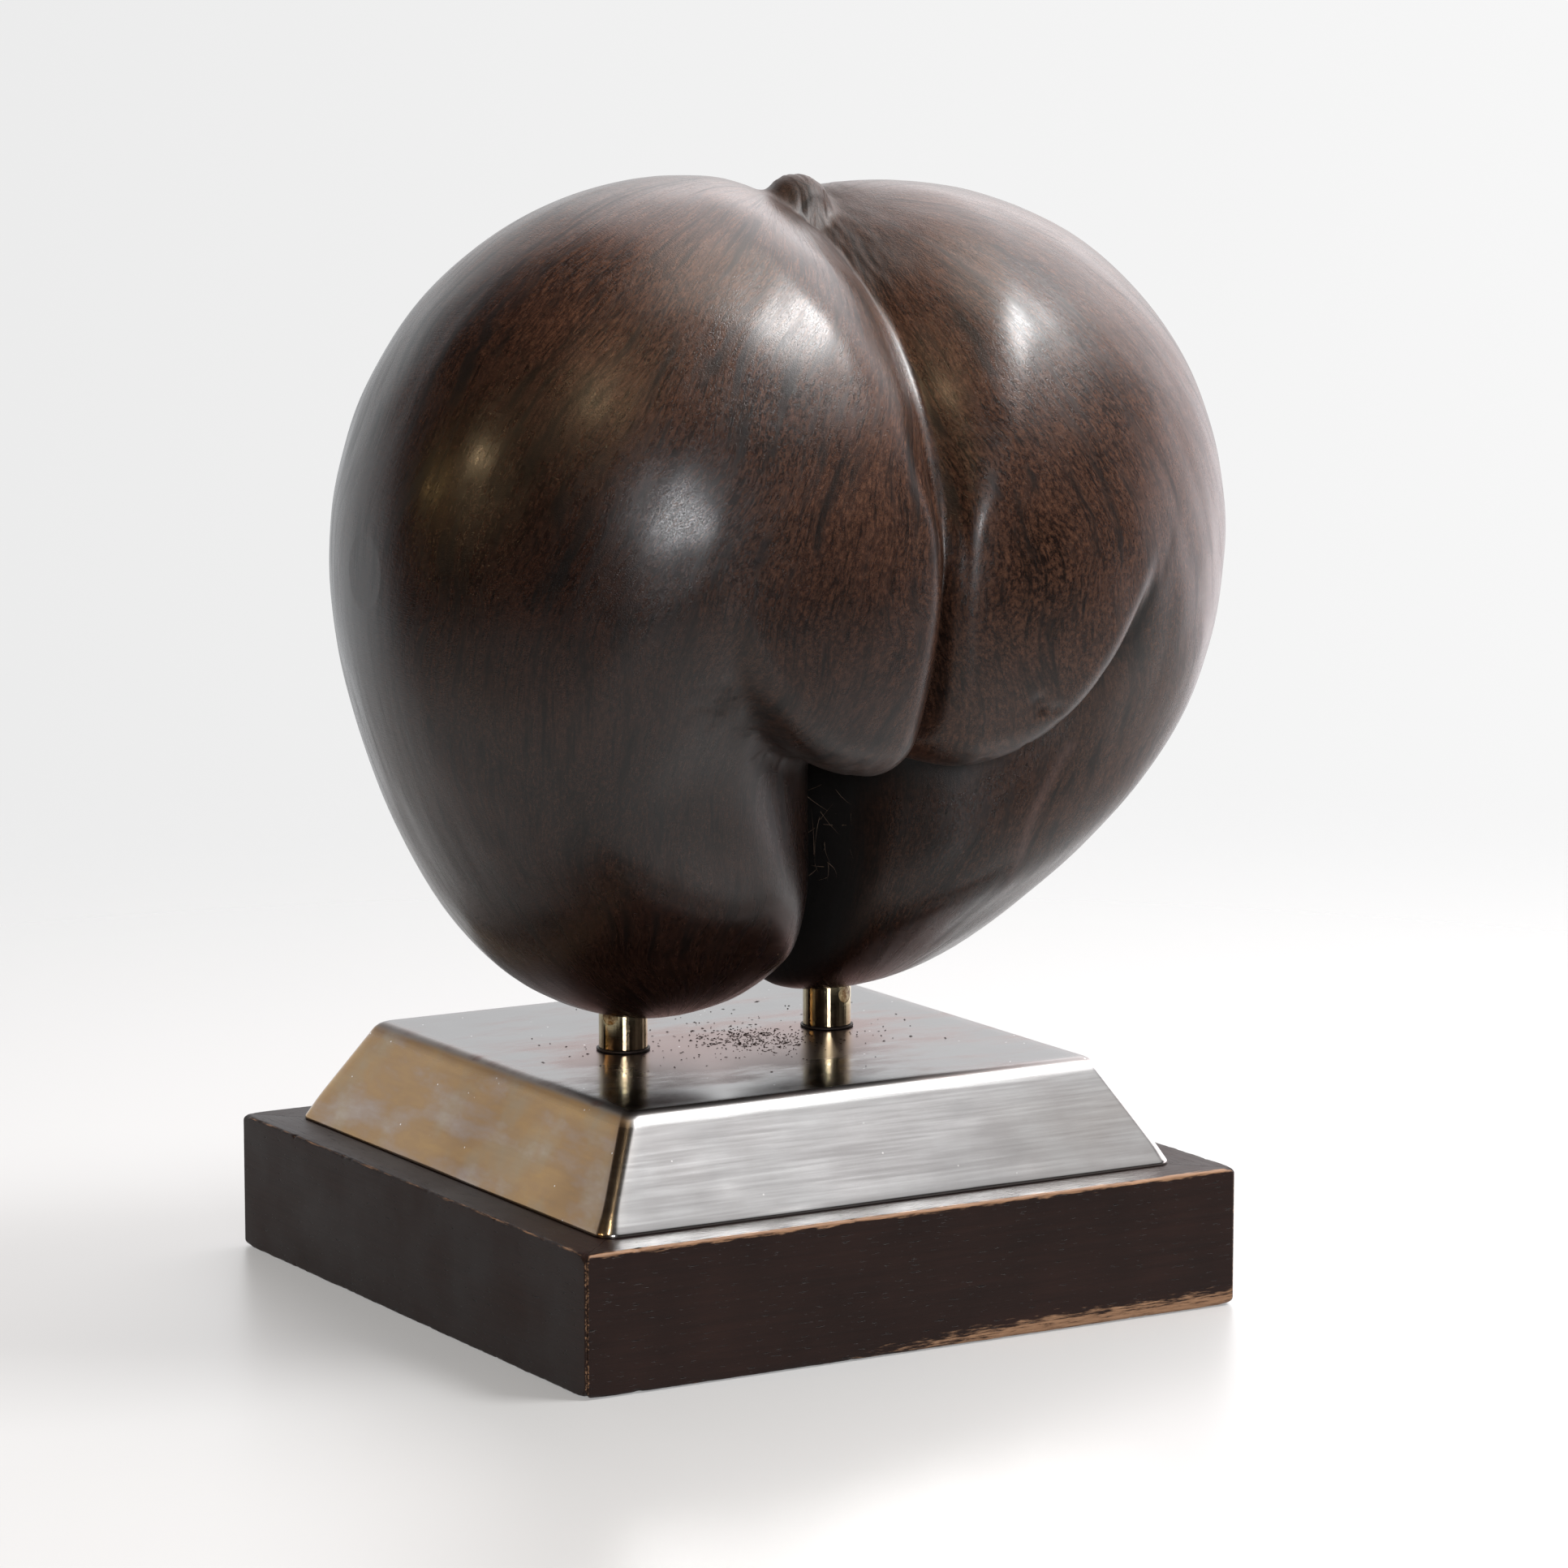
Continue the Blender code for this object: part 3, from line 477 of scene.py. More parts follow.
# Each post has a cross hole just under the seed, filled flush with a pale crumbly filler.
filler, nodes, shader = finish_for("pale_filler")
place = add(nodes, "ShaderNodeTexCoord").outputs["Object"]
tone = add(nodes, "ShaderNodeTexNoise", {
    "Vector": place, "Scale": 1 / 0.0014, "Detail": 4.0, "Roughness": 0.65}).outputs["Fac"]
tone = add(nodes, "ShaderNodeMapRange", {0: tone, 1: 0.38, 2: 0.62}).outputs[0]
colour = add(nodes, "ShaderNodeMix", {
    0: tone, 6: linear("#9a6a2c"), 7: linear("#f0d9a6")}, data_type="RGBA").outputs[2]
nodes.id_data.links.new(colour, shader.inputs["Base Color"])
shader.inputs["Roughness"].default_value = 0.4
post_radius, plug_radius = 8.0, 2.9
for side, post_x, facing, height in (("left", -post_across, 207.0, 91.6),
                                     ("right", post_across, 290.0, 91.0)):
    share = np.array([1, 1, 1, 0.94, 0.8, 0.6, 0.4, 0.2])[:, None]
    back = np.array([2.6, 1.5, 0.15, 0.04, 0.02, 0.03, 0.03, 0.02])[:, None]
    angle = np.linspace(0, 2 * np.pi, 40, endpoint=False)[None]
    beside_axis, rise = share * plug_radius * np.cos(angle), share * plug_radius * np.sin(angle)
    out = np.sqrt(post_radius ** 2 - beside_axis ** 2) - back
    c, s = math.cos(math.radians(facing)), math.sin(math.radians(facing))
    rings = np.stack([post_x + c * out - s * beside_axis,
                      post_back + s * out + c * beside_axis, height + rise], -1)
    tube_piece(f"hole_filler_{side}", rings, filler, "cap_block", sharp=50.0)

for side in ("left", "right"):
    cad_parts[f"post_{side}"].material_slots[0].material = brass
    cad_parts[f"post_washer_{side}"].material_slots[0].material = washer


# Studs and nuts
# Zinc-plated steel rod, nuts and washers, which pull the seed, posts, cap and base together from
# below. The plating is a fine grey spangle.
zinc = two_tone("zinc_plated_steel", 0.002, "#8f9294", "#c4c5c2", (0.28, 0.42), 3.0, 1.0)
for kind in ("stud", "nut", "nut_washer"):
    for side in ("left", "right"):
        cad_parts[f"{kind}_{side}"].material_slots[0].material = zinc


# Seed
# A coco de mer: one hard shell grown in two halves, husked, sanded and waxed. A belly with a deep
# groove overhangs two lobes with a cleft between them, and the stalk left a scar in the notch.
mass_centre, mass_radii = (35.6, -38.9, 243.9), (113.8, 102.5, 119.8)
mass_power, mass_lean, mass_splay = 2.06, 5.7, 6.5
tip_centre, tip_radii, tip_blend = (31.8, -3.9, 151.8), (53.7, 42.4, 51.4), 60.0
groove_floor = ((150, -84), (184, -106), (223, -123), (250, -126.5), (279, -121),
                (303, -111), (320, -98), (342, -72), (358, -42), (372, -8))
groove_slope = ((180, 2.0), (205, 3.0), (223, 3.4), (240, 3.4), (255, 2.8),
                (268, 2.0), (282, 1.6), (300, 1.5), (330, 1.5), (360, 1.2))
groove_round = ((180, 8), (223, 7), (245, 5), (262, 5), (275, 8), (292, 13), (320, 18),
                (345, 20), (365, 16))
back_floor = ((120, 20), (170, 46), (215, 54), (260, 54), (300, 44), (335, 24), (365, -16))
cleft_roof = ((-110, 181), (-68, 177), (0, 172), (50, 190), (90, 216))
scar_centre, scar_radii = (0.0, -44.0, 356.0), (9.5, 12.0, 9.0)
spoke_centre, spoke_limit, spoke_step = (-34.0, 238.0), 190.0, 5.0


def soft_min(a, b, width):
    """The smaller of two fields, its crease rounded over a width."""
    near = np.clip(width - np.abs(a - b), 0, None) / width
    return np.minimum(a, b) - near * near * width * 0.25


def soft_max(a, b, width):
    """The larger of two fields, its edge rounded over a width."""
    return -soft_min(-a, -b, width)


def through(value, points):
    """A smooth curve through (key, value) points: cubic pieces with central slopes."""
    keys, values = np.array(points, float).T
    slopes = np.gradient(values, keys)
    value = np.clip(value, keys[0], keys[-1])
    i = np.clip(np.searchsorted(keys, value) - 1, 0, len(keys) - 2)
    span = keys[i + 1] - keys[i]
    t = (value - keys[i]) / span
    start = (1 + 2 * t) * (1 - t) ** 2 * values[i] + t * (1 - t) ** 2 * span * slopes[i]
    return start + t * t * (3 - 2 * t) * values[i + 1] + t * t * (t - 1) * span * slopes[i + 1]


def swollen(points, centre, radii, power=2.0, lean=0.0, splay=0.0):
    """The field of an ellipsoid whose sections have the given power, leaned about X and then
    splayed about Y."""
    turn = Matrix.Rotation(math.radians(splay), 3, "Y")
    turn = turn @ Matrix.Rotation(math.radians(lean), 3, "X")
    local = np.abs((points - np.array(centre)) @ np.array(turn)) / np.array(radii)
    return ((local ** power).sum(-1) ** (1 / power) - 1) * min(radii)


def seed_field(points):
    """Below zero inside the seed: two mirrored masses blended with two tips, less the front and
    back grooves, the hollow under the belly and the cleft, plus the stalk scar."""
    x, y, z = points[..., 0], points[..., 1], points[..., 2]
    scale = 1 + 0.018 * np.tanh(x / 40)
    x, z = x * scale, (z - 230) * scale + 230
    reach = np.abs(x)
    half = np.stack([reach, y, z], -1)
    field = soft_min(swollen(half, mass_centre, mass_radii, mass_power, mass_lean, mass_splay),
                     swollen(half, tip_centre, tip_radii), tip_blend)
    sharp = np.sqrt(x * x + 0.8)
    keel = 1.8 * np.exp(-(x / 1.5) ** 2) * ease(z, 232, 255) * (1 - ease(z, 318, 332))
    steep = through(z, groove_slope)
    groove = (through(z, groove_floor) - keel - steep * sharp - y) / np.sqrt(1 + steep * steep)
    field = soft_max(field, groove, through(z, groove_round))
    field = soft_max(field, (y - through(z, back_floor) - 1.1 * sharp) / math.sqrt(2.21), 14)
    fade = np.where(x > 0, ease(reach, 46, 80), ease(reach, 26, 60))
    lift = (np.sqrt((z - 184) ** 2 + 18 ** 2) + z - 184) / 2
    lobe = -71 - 34 * (1 - np.exp(-(reach - 12) / 22)) - 0.72 * fade * lift
    line = 183 + 0.06 * reach + 1.1e-4 * reach ** 3 + 0.10 * (y + 100)
    hollow = soft_min((lobe - y) * 0.9, line - z, 7)
    field = soft_max(field, hollow, 13 + 5 * ease(reach, 30, 80))
    field = soft_max(field, soft_min(3.0 - reach, through(y, cleft_roof) - z, 14), 14)
    return soft_min(field, swollen(np.stack([x, y, z], -1), scar_centre, scar_radii), 4)


def seed_rings(ring_count, ring_points):
    """The skin on rings round a line along X: the last place where each spoke leaves the seed,
    found by steps and then by halving. Rings crowd to the groove, spokes to the fold."""
    ends = []
    for side in (-1, 1):
        low, high = 0.0, spoke_limit
        for _ in range(40):
            middle = (low + high) / 2
            inside = seed_field(np.array([[side * middle, *spoke_centre]]))[0] < 0
            low, high = (middle, high) if inside else (low, middle)
        ends.append(low)
    across = -np.cos(np.linspace(0.03, np.pi - 0.03, ring_count))
    station = np.where(across < 0, across * ends[0], across * ends[1])
    station = station * (1 - 0.62 * np.exp(-(station / 45) ** 2))
    angle = np.linspace(0, 2 * np.pi, ring_points, endpoint=False)
    angle = angle - 0.42 * np.sin(angle - math.atan2(-40, -100))
    x, angle = np.meshgrid(station, angle, indexing="ij")
    start = np.stack([x, np.full_like(x, spoke_centre[0]), np.full_like(x, spoke_centre[1])], -1)
    spoke = np.stack([np.zeros_like(x), np.cos(angle), np.sin(angle)], -1)
    inner = np.zeros_like(x)
    for distance in np.arange(0, spoke_limit, spoke_step):
        inner = np.where(seed_field(start + distance * spoke) < 0, distance, inner)
    outer = inner + spoke_step
    for _ in range(14):
        middle = (inner + outer) / 2
        inside = seed_field(start + middle[..., None] * spoke) < 0
        inner, outer = np.where(inside, middle, inner), np.where(inside, outer, middle)
    return start + inner[..., None] * spoke


def near(points, places, size):
    """1 at any of the places, fading to 0 over the size."""
    return np.max([np.exp(-((points - np.array(place)) ** 2).sum(-1) / size ** 2)
                   for place in places], axis=0)


def along_line(points, corners):
    """Distance from a line through the corners."""
    best = np.full(points.shape[:-1], 1e9)
    for a, b in zip(np.array(corners[:-1], float), np.array(corners[1:], float)):
        share = np.clip((points - a) @ (b - a) / ((b - a) @ (b - a)), 0, 1)
        best = np.minimum(best, np.linalg.norm(points - a - share[..., None] * (b - a), axis=-1))
    return best


rings = seed_rings(300, 316)
normal = np.cross(np.gradient(rings, axis=0), np.roll(rings, -1, 1) - np.roll(rings, 1, 1))
normal /= np.linalg.norm(normal, axis=-1, keepdims=True) + 1e-9
normal *= np.sign(((rings - (0, *spoke_centre)) * normal).sum(-1).mean())

# Meridians of the fibres run from the scar down each half to the tip of its lobe. They are kept
# as a bent cylinder's round and along distances, so that a pattern can follow them.
drop = np.clip((rings[..., 2] - 92) / 270, 0, 1)
axis_x = 8 + 62 * np.sin(np.pi * drop ** 0.8) + 24 * (1 - drop)
axis_y = -16 - 28 * drop
turn = np.arctan2(rings[..., 1] - axis_y, np.abs(rings[..., 0]) - axis_x)
turn = turn * np.sign(rings[..., 0])
grain = np.stack([70 * np.cos(turn) + 200 * (rings[..., 0] > 0), 70 * np.sin(turn),
                  rings[..., 2]], -1)

vein_line = ((64, -106, 186), (59, -102, 175), (55, -100, 166), (53, -98, 157),
             (53, -90, 143), (57, -75, 132))
vein = np.exp(-(along_line(rings, vein_line) / 1.5) ** 2)
scarred = near(rings, ((-4, -51, 362), (0, -46, 360), (8, -44, 359),
                       (2, -62, 349), (5, -78, 340)), 13)
pitted = near(rings, ((-71, -123, 211), (-60, -117, 203), (-50, -108, 196)), 9)
fold_line = 183 + 0.06 * np.abs(rings[..., 0]) + 1.1e-4 * np.abs(rings[..., 0]) ** 3
under = np.exp(-((rings[..., 2] - fold_line + 1) / 5) ** 2) * ease(-rings[..., 1], 70, 95)
under = under * (1 - ease(rings[..., 0], 52, 94)) * (1 - ease(-rings[..., 0], 26, 52))
cleft = (1 - ease(np.abs(rings[..., 0]), 5, 16)) * (1 - ease(rings[..., 2], 172, 184))
# Painted shade: the hollow mask darkens the colour to near black just under the belly's fold and
# in the cleft, where shade falls.
hollow = ease(fold_line + 2 - rings[..., 2], 0, 5) * (1 - ease(fold_line - rings[..., 2], 3, 20))
hollow = hollow * ease(-rings[..., 1], 40, 60)
hollow = hollow * (1 - np.where(rings[..., 0] > 0, ease(rings[..., 0], 58, 98),
                                ease(-rings[..., 0], 12, 34)))
hollow = np.clip(hollow + 1.2 * cleft, 0, 1)
# Painted shade: the colour grows darker towards the bottom and the left, the side turned from the
# main light.
seldom = 1 - ease(rings[..., 2] + 1.1 * rings[..., 0] + 14 * ripple(rings, 60, 36), 120, 260)
# Partly painted shade: the scar and the pitted patch are bare rough skin, darker and duller, while
# the darkening of the band under the fold and of the cleft is painted shade.
rough_skin_and_shade = np.clip(scarred + 0.8 * pitted + 0.8 * under + 0.9 * cleft, 0, 1)
relief = 0.09 * ripple(rings, 30, 31) + 0.03 * ripple(grain * (1, 1, 0.12), 7, 32)
relief = relief - scarred * (0.26 * np.abs(ripple(grain * (1, 1, 0.4), 3, 33)) - 0.2)
relief = relief - pitted * 0.8 * ease(ripple(rings, 4.5, 34), 0.6, 1.6)
relief = relief - under * 0.7 * ease(ripple(rings * (1, 1, 0.4), 6, 35), 0.2, 1.5)
relief = relief - 1.1 * near(rings, ((35, -135, 203), (33, -135.5, 205.5), (40, -134, 202)), 2.2)
lit_edge = np.exp(-((rings[..., 0] - 3) / 9) ** 2 - ((rings[..., 2] - 258) / 24) ** 2)
relief = relief - 1.7 * lit_edge * ease(rings[..., 0], 0.5, 5) * ease(-rings[..., 1], 110, 125)
relief = relief + vein * 0.10
inside_box = 1 - ease(np.abs(rings[..., 0]), 140, 149)
rings = rings + normal * (relief * np.clip(inside_box + 0.3, 0, 1))[..., None]

# Waxed palm shell: dense brown-black fibre under a satin film. Light is caught by the fine fibres,
# by sanding scratches in every direction, and by the wax, which is dull in the hollows. Painted
# shade darkens the colour under the belly's fold, in the cleft and towards the bottom and left.
shell, nodes, shader = finish_for("waxed_palm_shell")
place = add(nodes, "ShaderNodeTexCoord").outputs["Object"]
place = add(nodes, "ShaderNodeVectorMath", {
    0: place, "Scale": 1000.0}, operation="SCALE").outputs[0]
fibre_place = add(nodes, "ShaderNodeAttribute", attribute_name="grain_mm").outputs["Vector"]
drift = add(nodes, "ShaderNodeTexNoise", {
    "Vector": place, "Scale": 1 / 55, "Detail": 1.0}).outputs["Color"]
drift = add(nodes, "ShaderNodeVectorMath", {
    0: drift, 1: (0.5, 0.5, 0.5)}, operation="SUBTRACT").outputs[0]
drift = add(nodes, "ShaderNodeVectorMath", {0: drift, "Scale": 16.0}, operation="SCALE").outputs[0]
fibre_place = add(nodes, "ShaderNodeVectorMath", {
    0: fibre_place, 1: drift}, operation="ADD").outputs[0]
fibre = add(nodes, "ShaderNodeTexNoise", {
    "Vector": add(nodes, "ShaderNodeMapping", {
        0: fibre_place, "Scale": (1 / 0.8, 1 / 0.8, 1 / 16)}).outputs[0],
    "Scale": 1.0, "Detail": 4.0, "Roughness": 0.6}).outputs["Fac"]
streak = add(nodes, "ShaderNodeTexNoise", {
    "Vector": add(nodes, "ShaderNodeMapping", {
        0: fibre_place, "Scale": (1 / 3.5, 1 / 3.5, 1 / 38)}).outputs[0],
    "Scale": 1.0, "Detail": 4.0, "Roughness": 0.6}).outputs["Fac"]
blotch = add(nodes, "ShaderNodeTexNoise", {
    "Vector": place, "Scale": 1 / 42, "Detail": 5.0, "Roughness": 0.6}).outputs["Fac"]
mottle = add(nodes, "ShaderNodeTexNoise", {
    "Vector": add(nodes, "ShaderNodeMapping", {
        0: fibre_place, "Scale": (1 / 0.7, 1 / 0.7, 1 / 2.0)}).outputs[0],
    "Scale": 1.0, "Detail": 4.0, "Roughness": 0.75}).outputs["Fac"]
scratches = None
for turn_x, turn_y, turn_z in ((20, 35, 0), (75, -20, 40), (-35, 60, 80), (50, 10, 120)):
    way = add(nodes, "ShaderNodeMapping", {
        0: place, "Rotation": tuple(math.radians(a) for a in (turn_x, turn_y, turn_z)),
        "Scale": (1 / 0.42, 1 / 7.0, 1 / 0.42)}).outputs[0]
    fine = add(nodes, "ShaderNodeTexNoise", {
        "Vector": way, "Scale": 1.0, "Detail": 1.0}).outputs["Fac"]
    fine = add(nodes, "ShaderNodeMapRange", {0: fine, 1: 0.58, 2: 0.68}).outputs[0]
    if scratches is None:
        scratches = fine
    else:
        scratches = add(nodes, "ShaderNodeMath", {
            0: scratches, 1: fine}, operation="MAXIMUM").outputs[0]
deep = add(nodes, "ShaderNodeMix", {
    0: add(nodes, "ShaderNodeMapRange", {0: blotch, 1: 0.34, 2: 0.66}).outputs[0],
    6: linear("#150b08"), 7: linear("#37231b")}, data_type="RGBA").outputs[2]
for pattern, start, full, most, tone in ((mottle, 0.42, 0.70, 0.75, "#674736"),
                                         (streak, 0.53, 0.66, 0.8, "#0c0806"),
                                         (fibre, 0.53, 0.66, 0.75, "#0b0706")):
    share = add(nodes, "ShaderNodeMapRange", {
        0: pattern, 1: start, 2: full, 3: 0.0, 4: most}).outputs[0]
    deep = add(nodes, "ShaderNodeMix", {
        0: share, 6: deep, 7: linear(tone)}, data_type="RGBA").outputs[2]
deep = add(nodes, "ShaderNodeMix", {
    0: add(nodes, "ShaderNodeMath", {0: scratches, 1: 0.45}, operation="MULTIPLY").outputs[0],
    6: deep, 7: linear("#150c08")}, data_type="RGBA").outputs[2]
vein_mask = add(nodes, "ShaderNodeAttribute", attribute_name="vein").outputs["Fac"]
deep = add(nodes, "ShaderNodeMix", {
    0: add(nodes, "ShaderNodeMath", {0: vein_mask, 1: mottle}, operation="MULTIPLY").outputs[0],
    6: deep, 7: linear("#66504a")}, data_type="RGBA").outputs[2]
# Painted shade: the colour is multiplied darker towards the bottom and the left.
low_side_shade_mask = add(nodes, "ShaderNodeAttribute", attribute_name="seldom").outputs["Fac"]
deep = add(nodes, "ShaderNodeMix", {
    0: low_side_shade_mask, 6: deep, 7: (0.42, 0.39, 0.41, 1.0)},
    data_type="RGBA", blend_type="MULTIPLY").outputs[2]
# This mask darkens bare skin at the scar and pits, and paints shade under the fold and in the
# cleft.
raw = add(nodes, "ShaderNodeAttribute", attribute_name="raw").outputs["Fac"]
# The hollow mask paints shade: near-black colour under the fold and in the cleft.
painted_shade = add(nodes, "ShaderNodeAttribute", attribute_name="hollow").outputs["Fac"]
rough = add(nodes, "ShaderNodeMapRange", {0: blotch, 1: 0.3, 2: 0.7, 3: 0.21, 4: 0.29}).outputs[0]
for mask, most, tone, rougher in ((raw, 0.45, "#1a120e", 0.35), (painted_shade, 0.9, "#070504", 0.14)):
    deep = add(nodes, "ShaderNodeMix", {
        0: add(nodes, "ShaderNodeMath", {0: mask, 1: most}, operation="MULTIPLY").outputs[0],
        6: deep, 7: linear(tone)}, data_type="RGBA").outputs[2]
    more = add(nodes, "ShaderNodeMath", {0: mask, 1: rougher}, operation="MULTIPLY").outputs[0]
    rough = add(nodes, "ShaderNodeMath", {0: rough, 1: more}, operation="ADD").outputs[0]
nodes.id_data.links.new(deep, shader.inputs["Base Color"])
more = add(nodes, "ShaderNodeMapRange", {0: streak, 1: 0.46, 2: 0.66, 3: 0.0, 4: 0.07}).outputs[0]
rough = add(nodes, "ShaderNodeMath", {0: rough, 1: more}, operation="ADD").outputs[0]
nodes.id_data.links.new(rough, shader.inputs["Roughness"])
shader.inputs["IOR"].default_value = 1.45
cut = add(nodes, "ShaderNodeMath", {0: scratches, 1: 0.9}, operation="MULTIPLY").outputs[0]
height = add(nodes, "ShaderNodeMath", {0: fibre, 1: cut}, operation="SUBTRACT").outputs[0]
swell = add(nodes, "ShaderNodeMath", {0: mottle, 1: 0.08}, operation="MULTIPLY").outputs[0]
height = add(nodes, "ShaderNodeMath", {0: height, 1: swell}, operation="ADD").outputs[0]
bump = add(nodes, "ShaderNodeBump", {"Height": height, "Strength": 0.7, "Distance": 0.00003})
nodes.id_data.links.new(bump.outputs[0], shader.inputs["Normal"])
tube_piece("seed_shell", rings, shell, "shell", "seed", sharp=180.0,
           grain_mm=grain, vein=vein, raw=rough_skin_and_shade, hollow=hollow, seldom=seldom)


# Fibres in the cleft
# A few dry husk hairs are still rooted under the belly, where no tool reaches. Each is a bent
# tapered hair with four sides.
rng = np.random.default_rng(9)
hair_count, hair_steps, hair_radius = 46, 9, 0.085
root = np.stack([rng.uniform(-2, 16, hair_count), rng.uniform(-66, -48, hair_count),
                 rng.uniform(140, 176, hair_count)], -1)
aim = rng.normal(size=(hair_count, 3)) * (0.7, 0.5, 0.9) + (0.2, -0.55, -0.3)
aim /= np.linalg.norm(aim, axis=1, keepdims=True)
bend = rng.normal(size=(hair_count, 3)) * 0.05
length = rng.uniform(4, 15, hair_count)
step = np.linspace(0, 1, hair_steps)[None, :, None]
spine = root[:, None] + aim[:, None] * step * length[:, None, None]
spine = spine + bend[:, None] * (step * length[:, None, None]) ** 2 * 0.5
side = np.cross(aim, (0, 0, 1.0))
side /= np.linalg.norm(side, axis=1, keepdims=True)
other = np.cross(aim, side)
angle = np.arange(4) * np.pi / 2
thick = (hair_radius * (1.05 - step))[..., None] * np.ones((hair_count, 1, 1, 1))
spread = np.cos(angle)[:, None] * side[:, None, None]
spread = spread + np.sin(angle)[:, None] * other[:, None, None]
points = spine[:, :, None] + thick * spread
index = np.arange(hair_count * hair_steps * 4).reshape(hair_count, hair_steps, 4)
beside = np.roll(index, -1, axis=2)
quads = np.stack([index[:, :-1], beside[:, :-1], beside[:, 1:], index[:, 1:]], -1).reshape(-1, 4)
caps = np.concatenate([index[:, 0, ::-1], index[:, -1]])
mesh = bpy.data.meshes.new("husk_hairs")
mesh.from_pydata((points.reshape(-1, 3) * 0.001).tolist(), [], quads.tolist() + caps.tolist())
mesh.shade_smooth()
husk = two_tone("dry_husk_fibre", 0.004, "#46332a", "#86705c", (0.6, 0.6))
mesh.materials.append(husk)
hairs = bpy.data.objects.new("husk_hairs", mesh)
bpy.context.scene.collection.objects.link(hairs)
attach(hairs, "root")


# Studio
# A pale floor that fades into a pale surround, brightest behind and to the right of the object.
# A large soft box stands high on the right with a fainter one overhead, a low window in front
# and three small warm lamps on the left.
floor_reach, floor_rings, floor_spokes, floor_level = 1.5, 24, 96, -0.0004
radius = np.linspace(0.0, 1.0, floor_rings + 1)[1:] ** 1.4 * floor_reach
angle = np.linspace(0, 2 * np.pi, floor_spokes, endpoint=False)
points = np.stack([radius[:, None] * np.cos(angle), radius[:, None] * np.sin(angle),
                   np.full((floor_rings, floor_spokes), floor_level)], -1).reshape(-1, 3)
index = np.arange(floor_rings * floor_spokes).reshape(floor_rings, floor_spokes)
beside = np.roll(index, -1, axis=1)
quads = np.stack([index[:-1], index[1:], beside[1:], beside[:-1]], -1).reshape(-1, 4).tolist()
mesh = bpy.data.meshes.new("floor")
mesh.from_pydata(points.tolist(), [], quads + [index[0].tolist()])
floor_finish, nodes, shader = finish_for("pale_floor")
shader.inputs["Base Color"].default_value = linear("#8b8b8b")
shader.inputs["Emission Color"].default_value = (1, 1, 1, 1)
shader.inputs["Emission Strength"].default_value = 0.30
shader.inputs["Roughness"].default_value = 0.35
place = add(nodes, "ShaderNodeTexCoord").outputs["Object"]
away = add(nodes, "ShaderNodeVectorMath", {0: place}, operation="LENGTH").outputs["Value"]
fade = add(nodes, "ShaderNodeMapRange", {
    0: away, 1: 0.28, 2: 1.1}, interpolation_type="SMOOTHSTEP").outputs[0]
clear = add(nodes, "ShaderNodeBsdfTransparent")
blend = add(nodes, "ShaderNodeMixShader", {0: fade, 1: shader.outputs[0], 2: clear.outputs[0]})
nodes.id_data.links.new(blend.outputs[0], nodes["Material Output"].inputs["Surface"])
mesh.materials.append(floor_finish)
floor = bpy.data.objects.new("floor", mesh)
bpy.context.scene.collection.objects.link(floor)

world = bpy.data.worlds.new("studio")
bpy.context.scene.world = world
world.use_nodes = True
nodes = world.node_tree.nodes
heading = add(nodes, "ShaderNodeTexCoord").outputs["Generated"]
# The surround is dark except for soft glows, which the polished faces mirror.
surround = (0.012, 0.010, 0.010, 1)
glows = (  # direction, where the glow starts and where it is full, light
    ((0.50, 0.85, -0.35), 0.16, 0.40, (0.42, 0.33, 0.34, 1)),
    ((0.50, 0.85, -0.35), 0.22, 0.50, (1.0, 1.02, 1.04, 1)),
    ((0.644, 0.372, 0.669), 0.76, 0.94, (3.1, 3.0, 3.05, 1)),
    ((0.96, 0.17, -0.22), 0.74, 0.97, (2.3, 2.12, 2.17, 1)),
    ((0.505, -0.569, 0.66), 0.86, 0.975, (0.55, 0.54, 0.545, 1)),
)
for direction, start, full, glow in glows:
    share = add(nodes, "ShaderNodeVectorMath", {
        0: heading, 1: direction}, operation="DOT_PRODUCT").outputs["Value"]
    share = add(nodes, "ShaderNodeMapRange", {
        0: share, 1: start, 2: full}, interpolation_type="SMOOTHSTEP").outputs[0]
    surround = add(nodes, "ShaderNodeMix", {
        0: share, 6: surround, 7: glow}, data_type="RGBA").outputs[2]
rightward = add(nodes, "ShaderNodeVectorMath", {
    0: heading, 1: (0.86, -0.51, 0.0)}, operation="DOT_PRODUCT").outputs["Value"]
rightward = add(nodes, "ShaderNodeMapRange", {0: rightward, 1: -0.13, 2: 0.13}).outputs[0]
backdrop = add(nodes, "ShaderNodeMix", {
    0: rightward, 6: linear("#ececec"), 7: linear("#f7f7f7")}, data_type="RGBA").outputs[2]
seen = add(nodes, "ShaderNodeLightPath").outputs["Is Camera Ray"]
shown = add(nodes, "ShaderNodeMix", {
    0: seen, 6: surround, 7: backdrop}, data_type="RGBA").outputs[2]
nodes.id_data.links.new(shown, nodes["Background"].inputs["Color"])

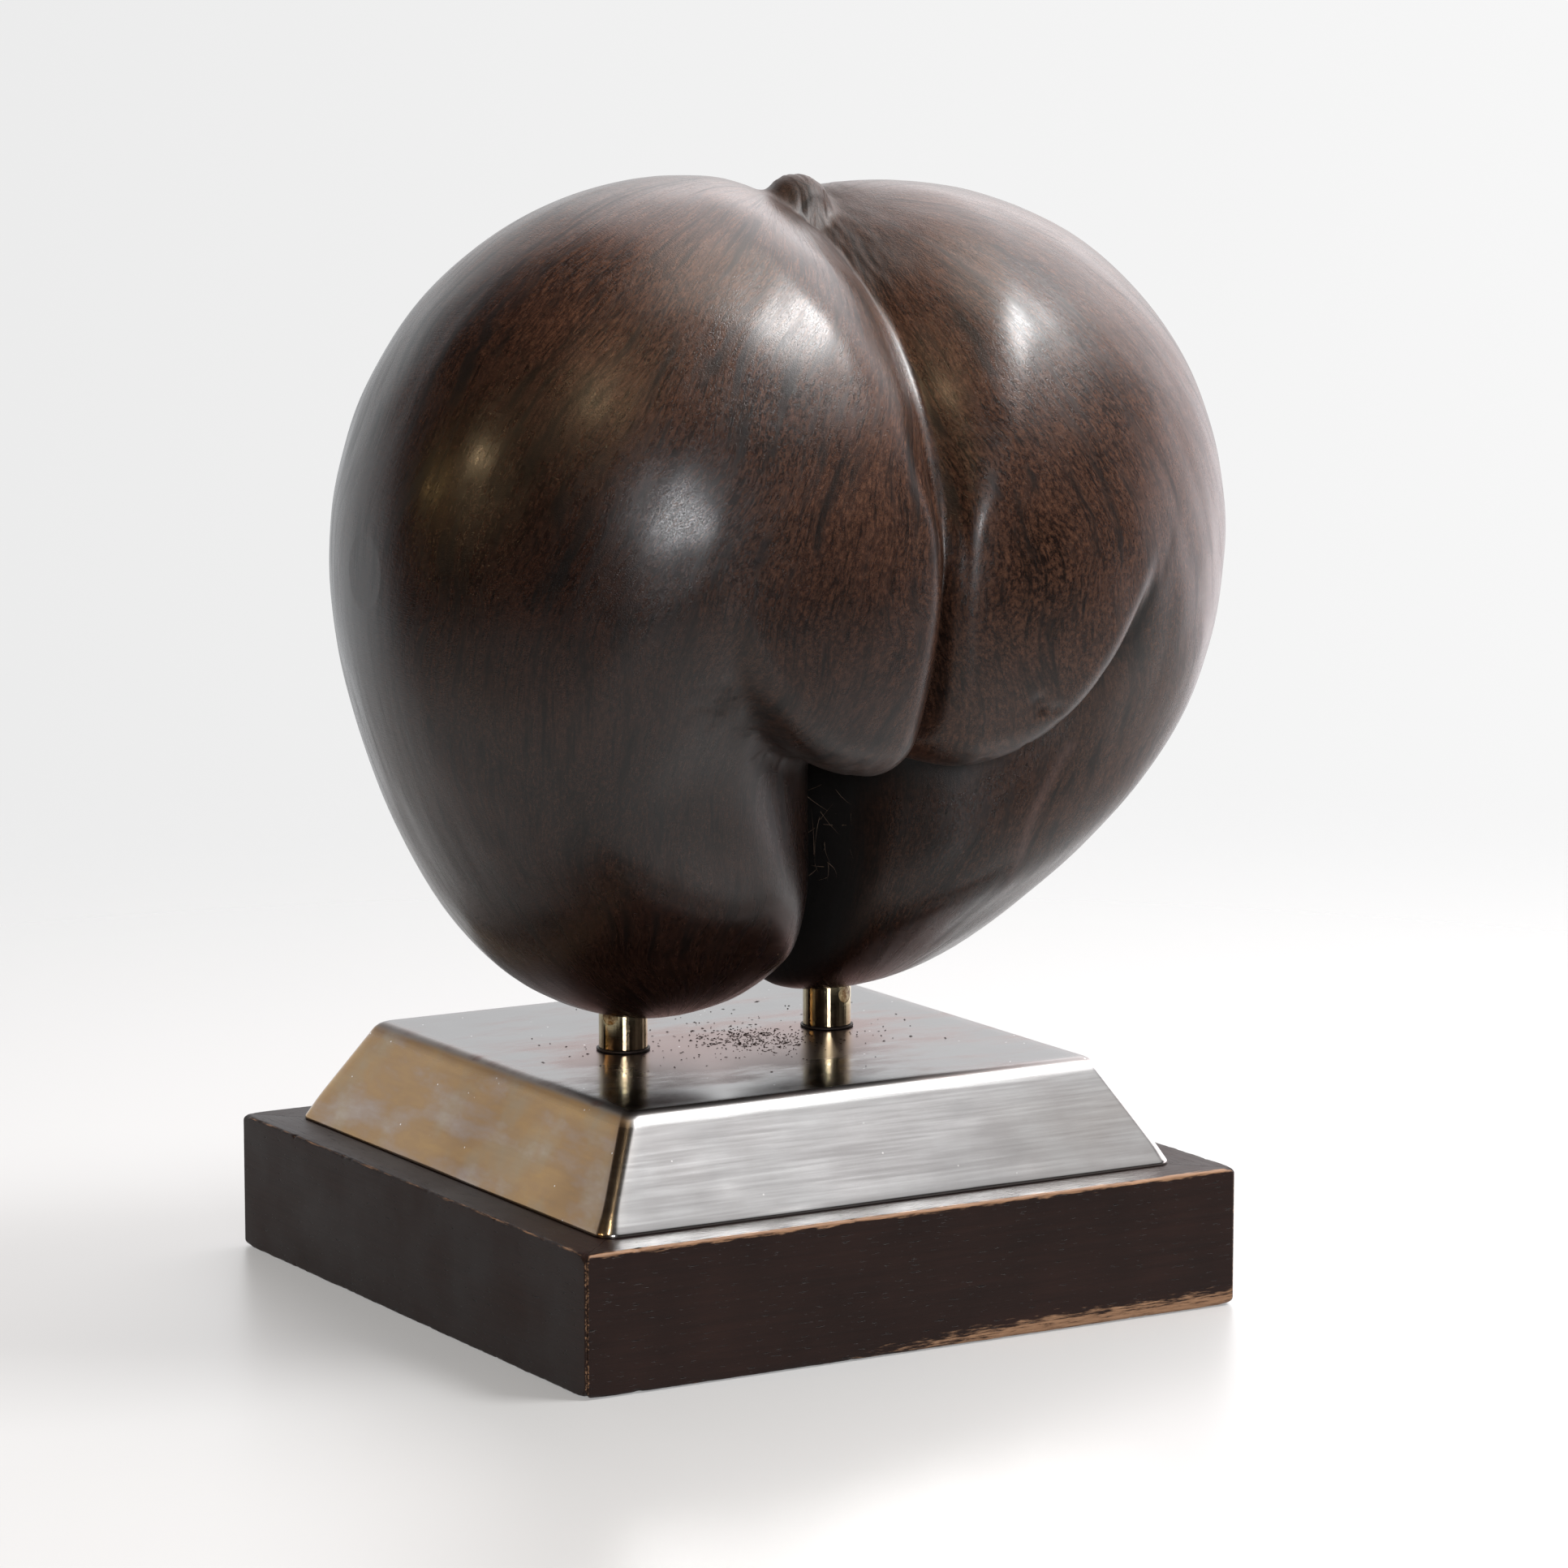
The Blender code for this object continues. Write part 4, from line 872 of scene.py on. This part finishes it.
lamps = (  # name, bearing, rise, distance, wide, high, watts, colour
    ("soft_box", 50, 53, 1.7, 0.60, 0.52, 44.0, "#ffffff"),
    ("ceiling_box", 60, 78, 1.6, 1.00, 0.80, 9.5, "#fff1e6"),
    ("low_window", -22, 9, 1.6, 0.34, 0.24, 8.0, "#fbfcff"),
    ("warm_strip", -54, 43, 2.0, 0.05, 0.45, 5.2, "#ffdfae"),
    ("warm_lamp", -94, 20, 2.0, 0.15, 0.12, 4.0, "#ffdcaa"),
    ("warm_lamp_low", -112, 12, 2.0, 0.12, 0.12, 1.0, "#ffd08a"),
)
lamps_face = (0, -0.04, 0.25)
for name, bearing, rise, distance, wide, high, watts, tint in lamps:
    light = bpy.data.lights.new(name, "AREA")
    light.shape, light.size, light.size_y = "RECTANGLE", wide, high
    light.energy, light.color = watts, linear(tint)[:3]
    lamp = bpy.data.objects.new(name, light)
    bearing, rise = math.radians(bearing), math.radians(rise)
    toward = np.array([math.sin(bearing) * math.cos(rise), -math.cos(bearing) * math.cos(rise),
                       math.sin(rise)])
    side = np.array([math.cos(bearing), math.sin(bearing), 0.0])
    upward = np.cross(toward, side)
    spot = toward * distance + lamps_face
    lamp.matrix_world = Matrix([[side[k], upward[k], toward[k], spot[k]] for k in range(3)]
                               + [[0, 0, 0, 1]])
    lamp.visible_camera = False
    bpy.context.scene.collection.objects.link(lamp)

# Camera, long lens, a little above and to the left of the object.
bearing, rise = math.radians(-30.739), math.radians(8.929)
back = (math.sin(bearing) * math.cos(rise), -math.cos(bearing) * math.cos(rise), math.sin(rise))
right = (math.cos(bearing), math.sin(bearing), 0.0)
upward = tuple(np.cross(back, right))
lens = bpy.data.cameras.new("camera")
lens.lens, lens.sensor_width, lens.clip_start = 137.99, 36.0, 0.05
camera = bpy.data.objects.new("camera", lens)
spot = (-0.97719, -1.67891, 0.46920)
camera.matrix_world = Matrix([[right[k], upward[k], back[k], spot[k]] for k in range(3)]
                             + [[0, 0, 0, 1]])
bpy.context.scene.collection.objects.link(camera)
bpy.context.scene.camera = camera
bpy.context.scene.view_settings.view_transform = "Standard"
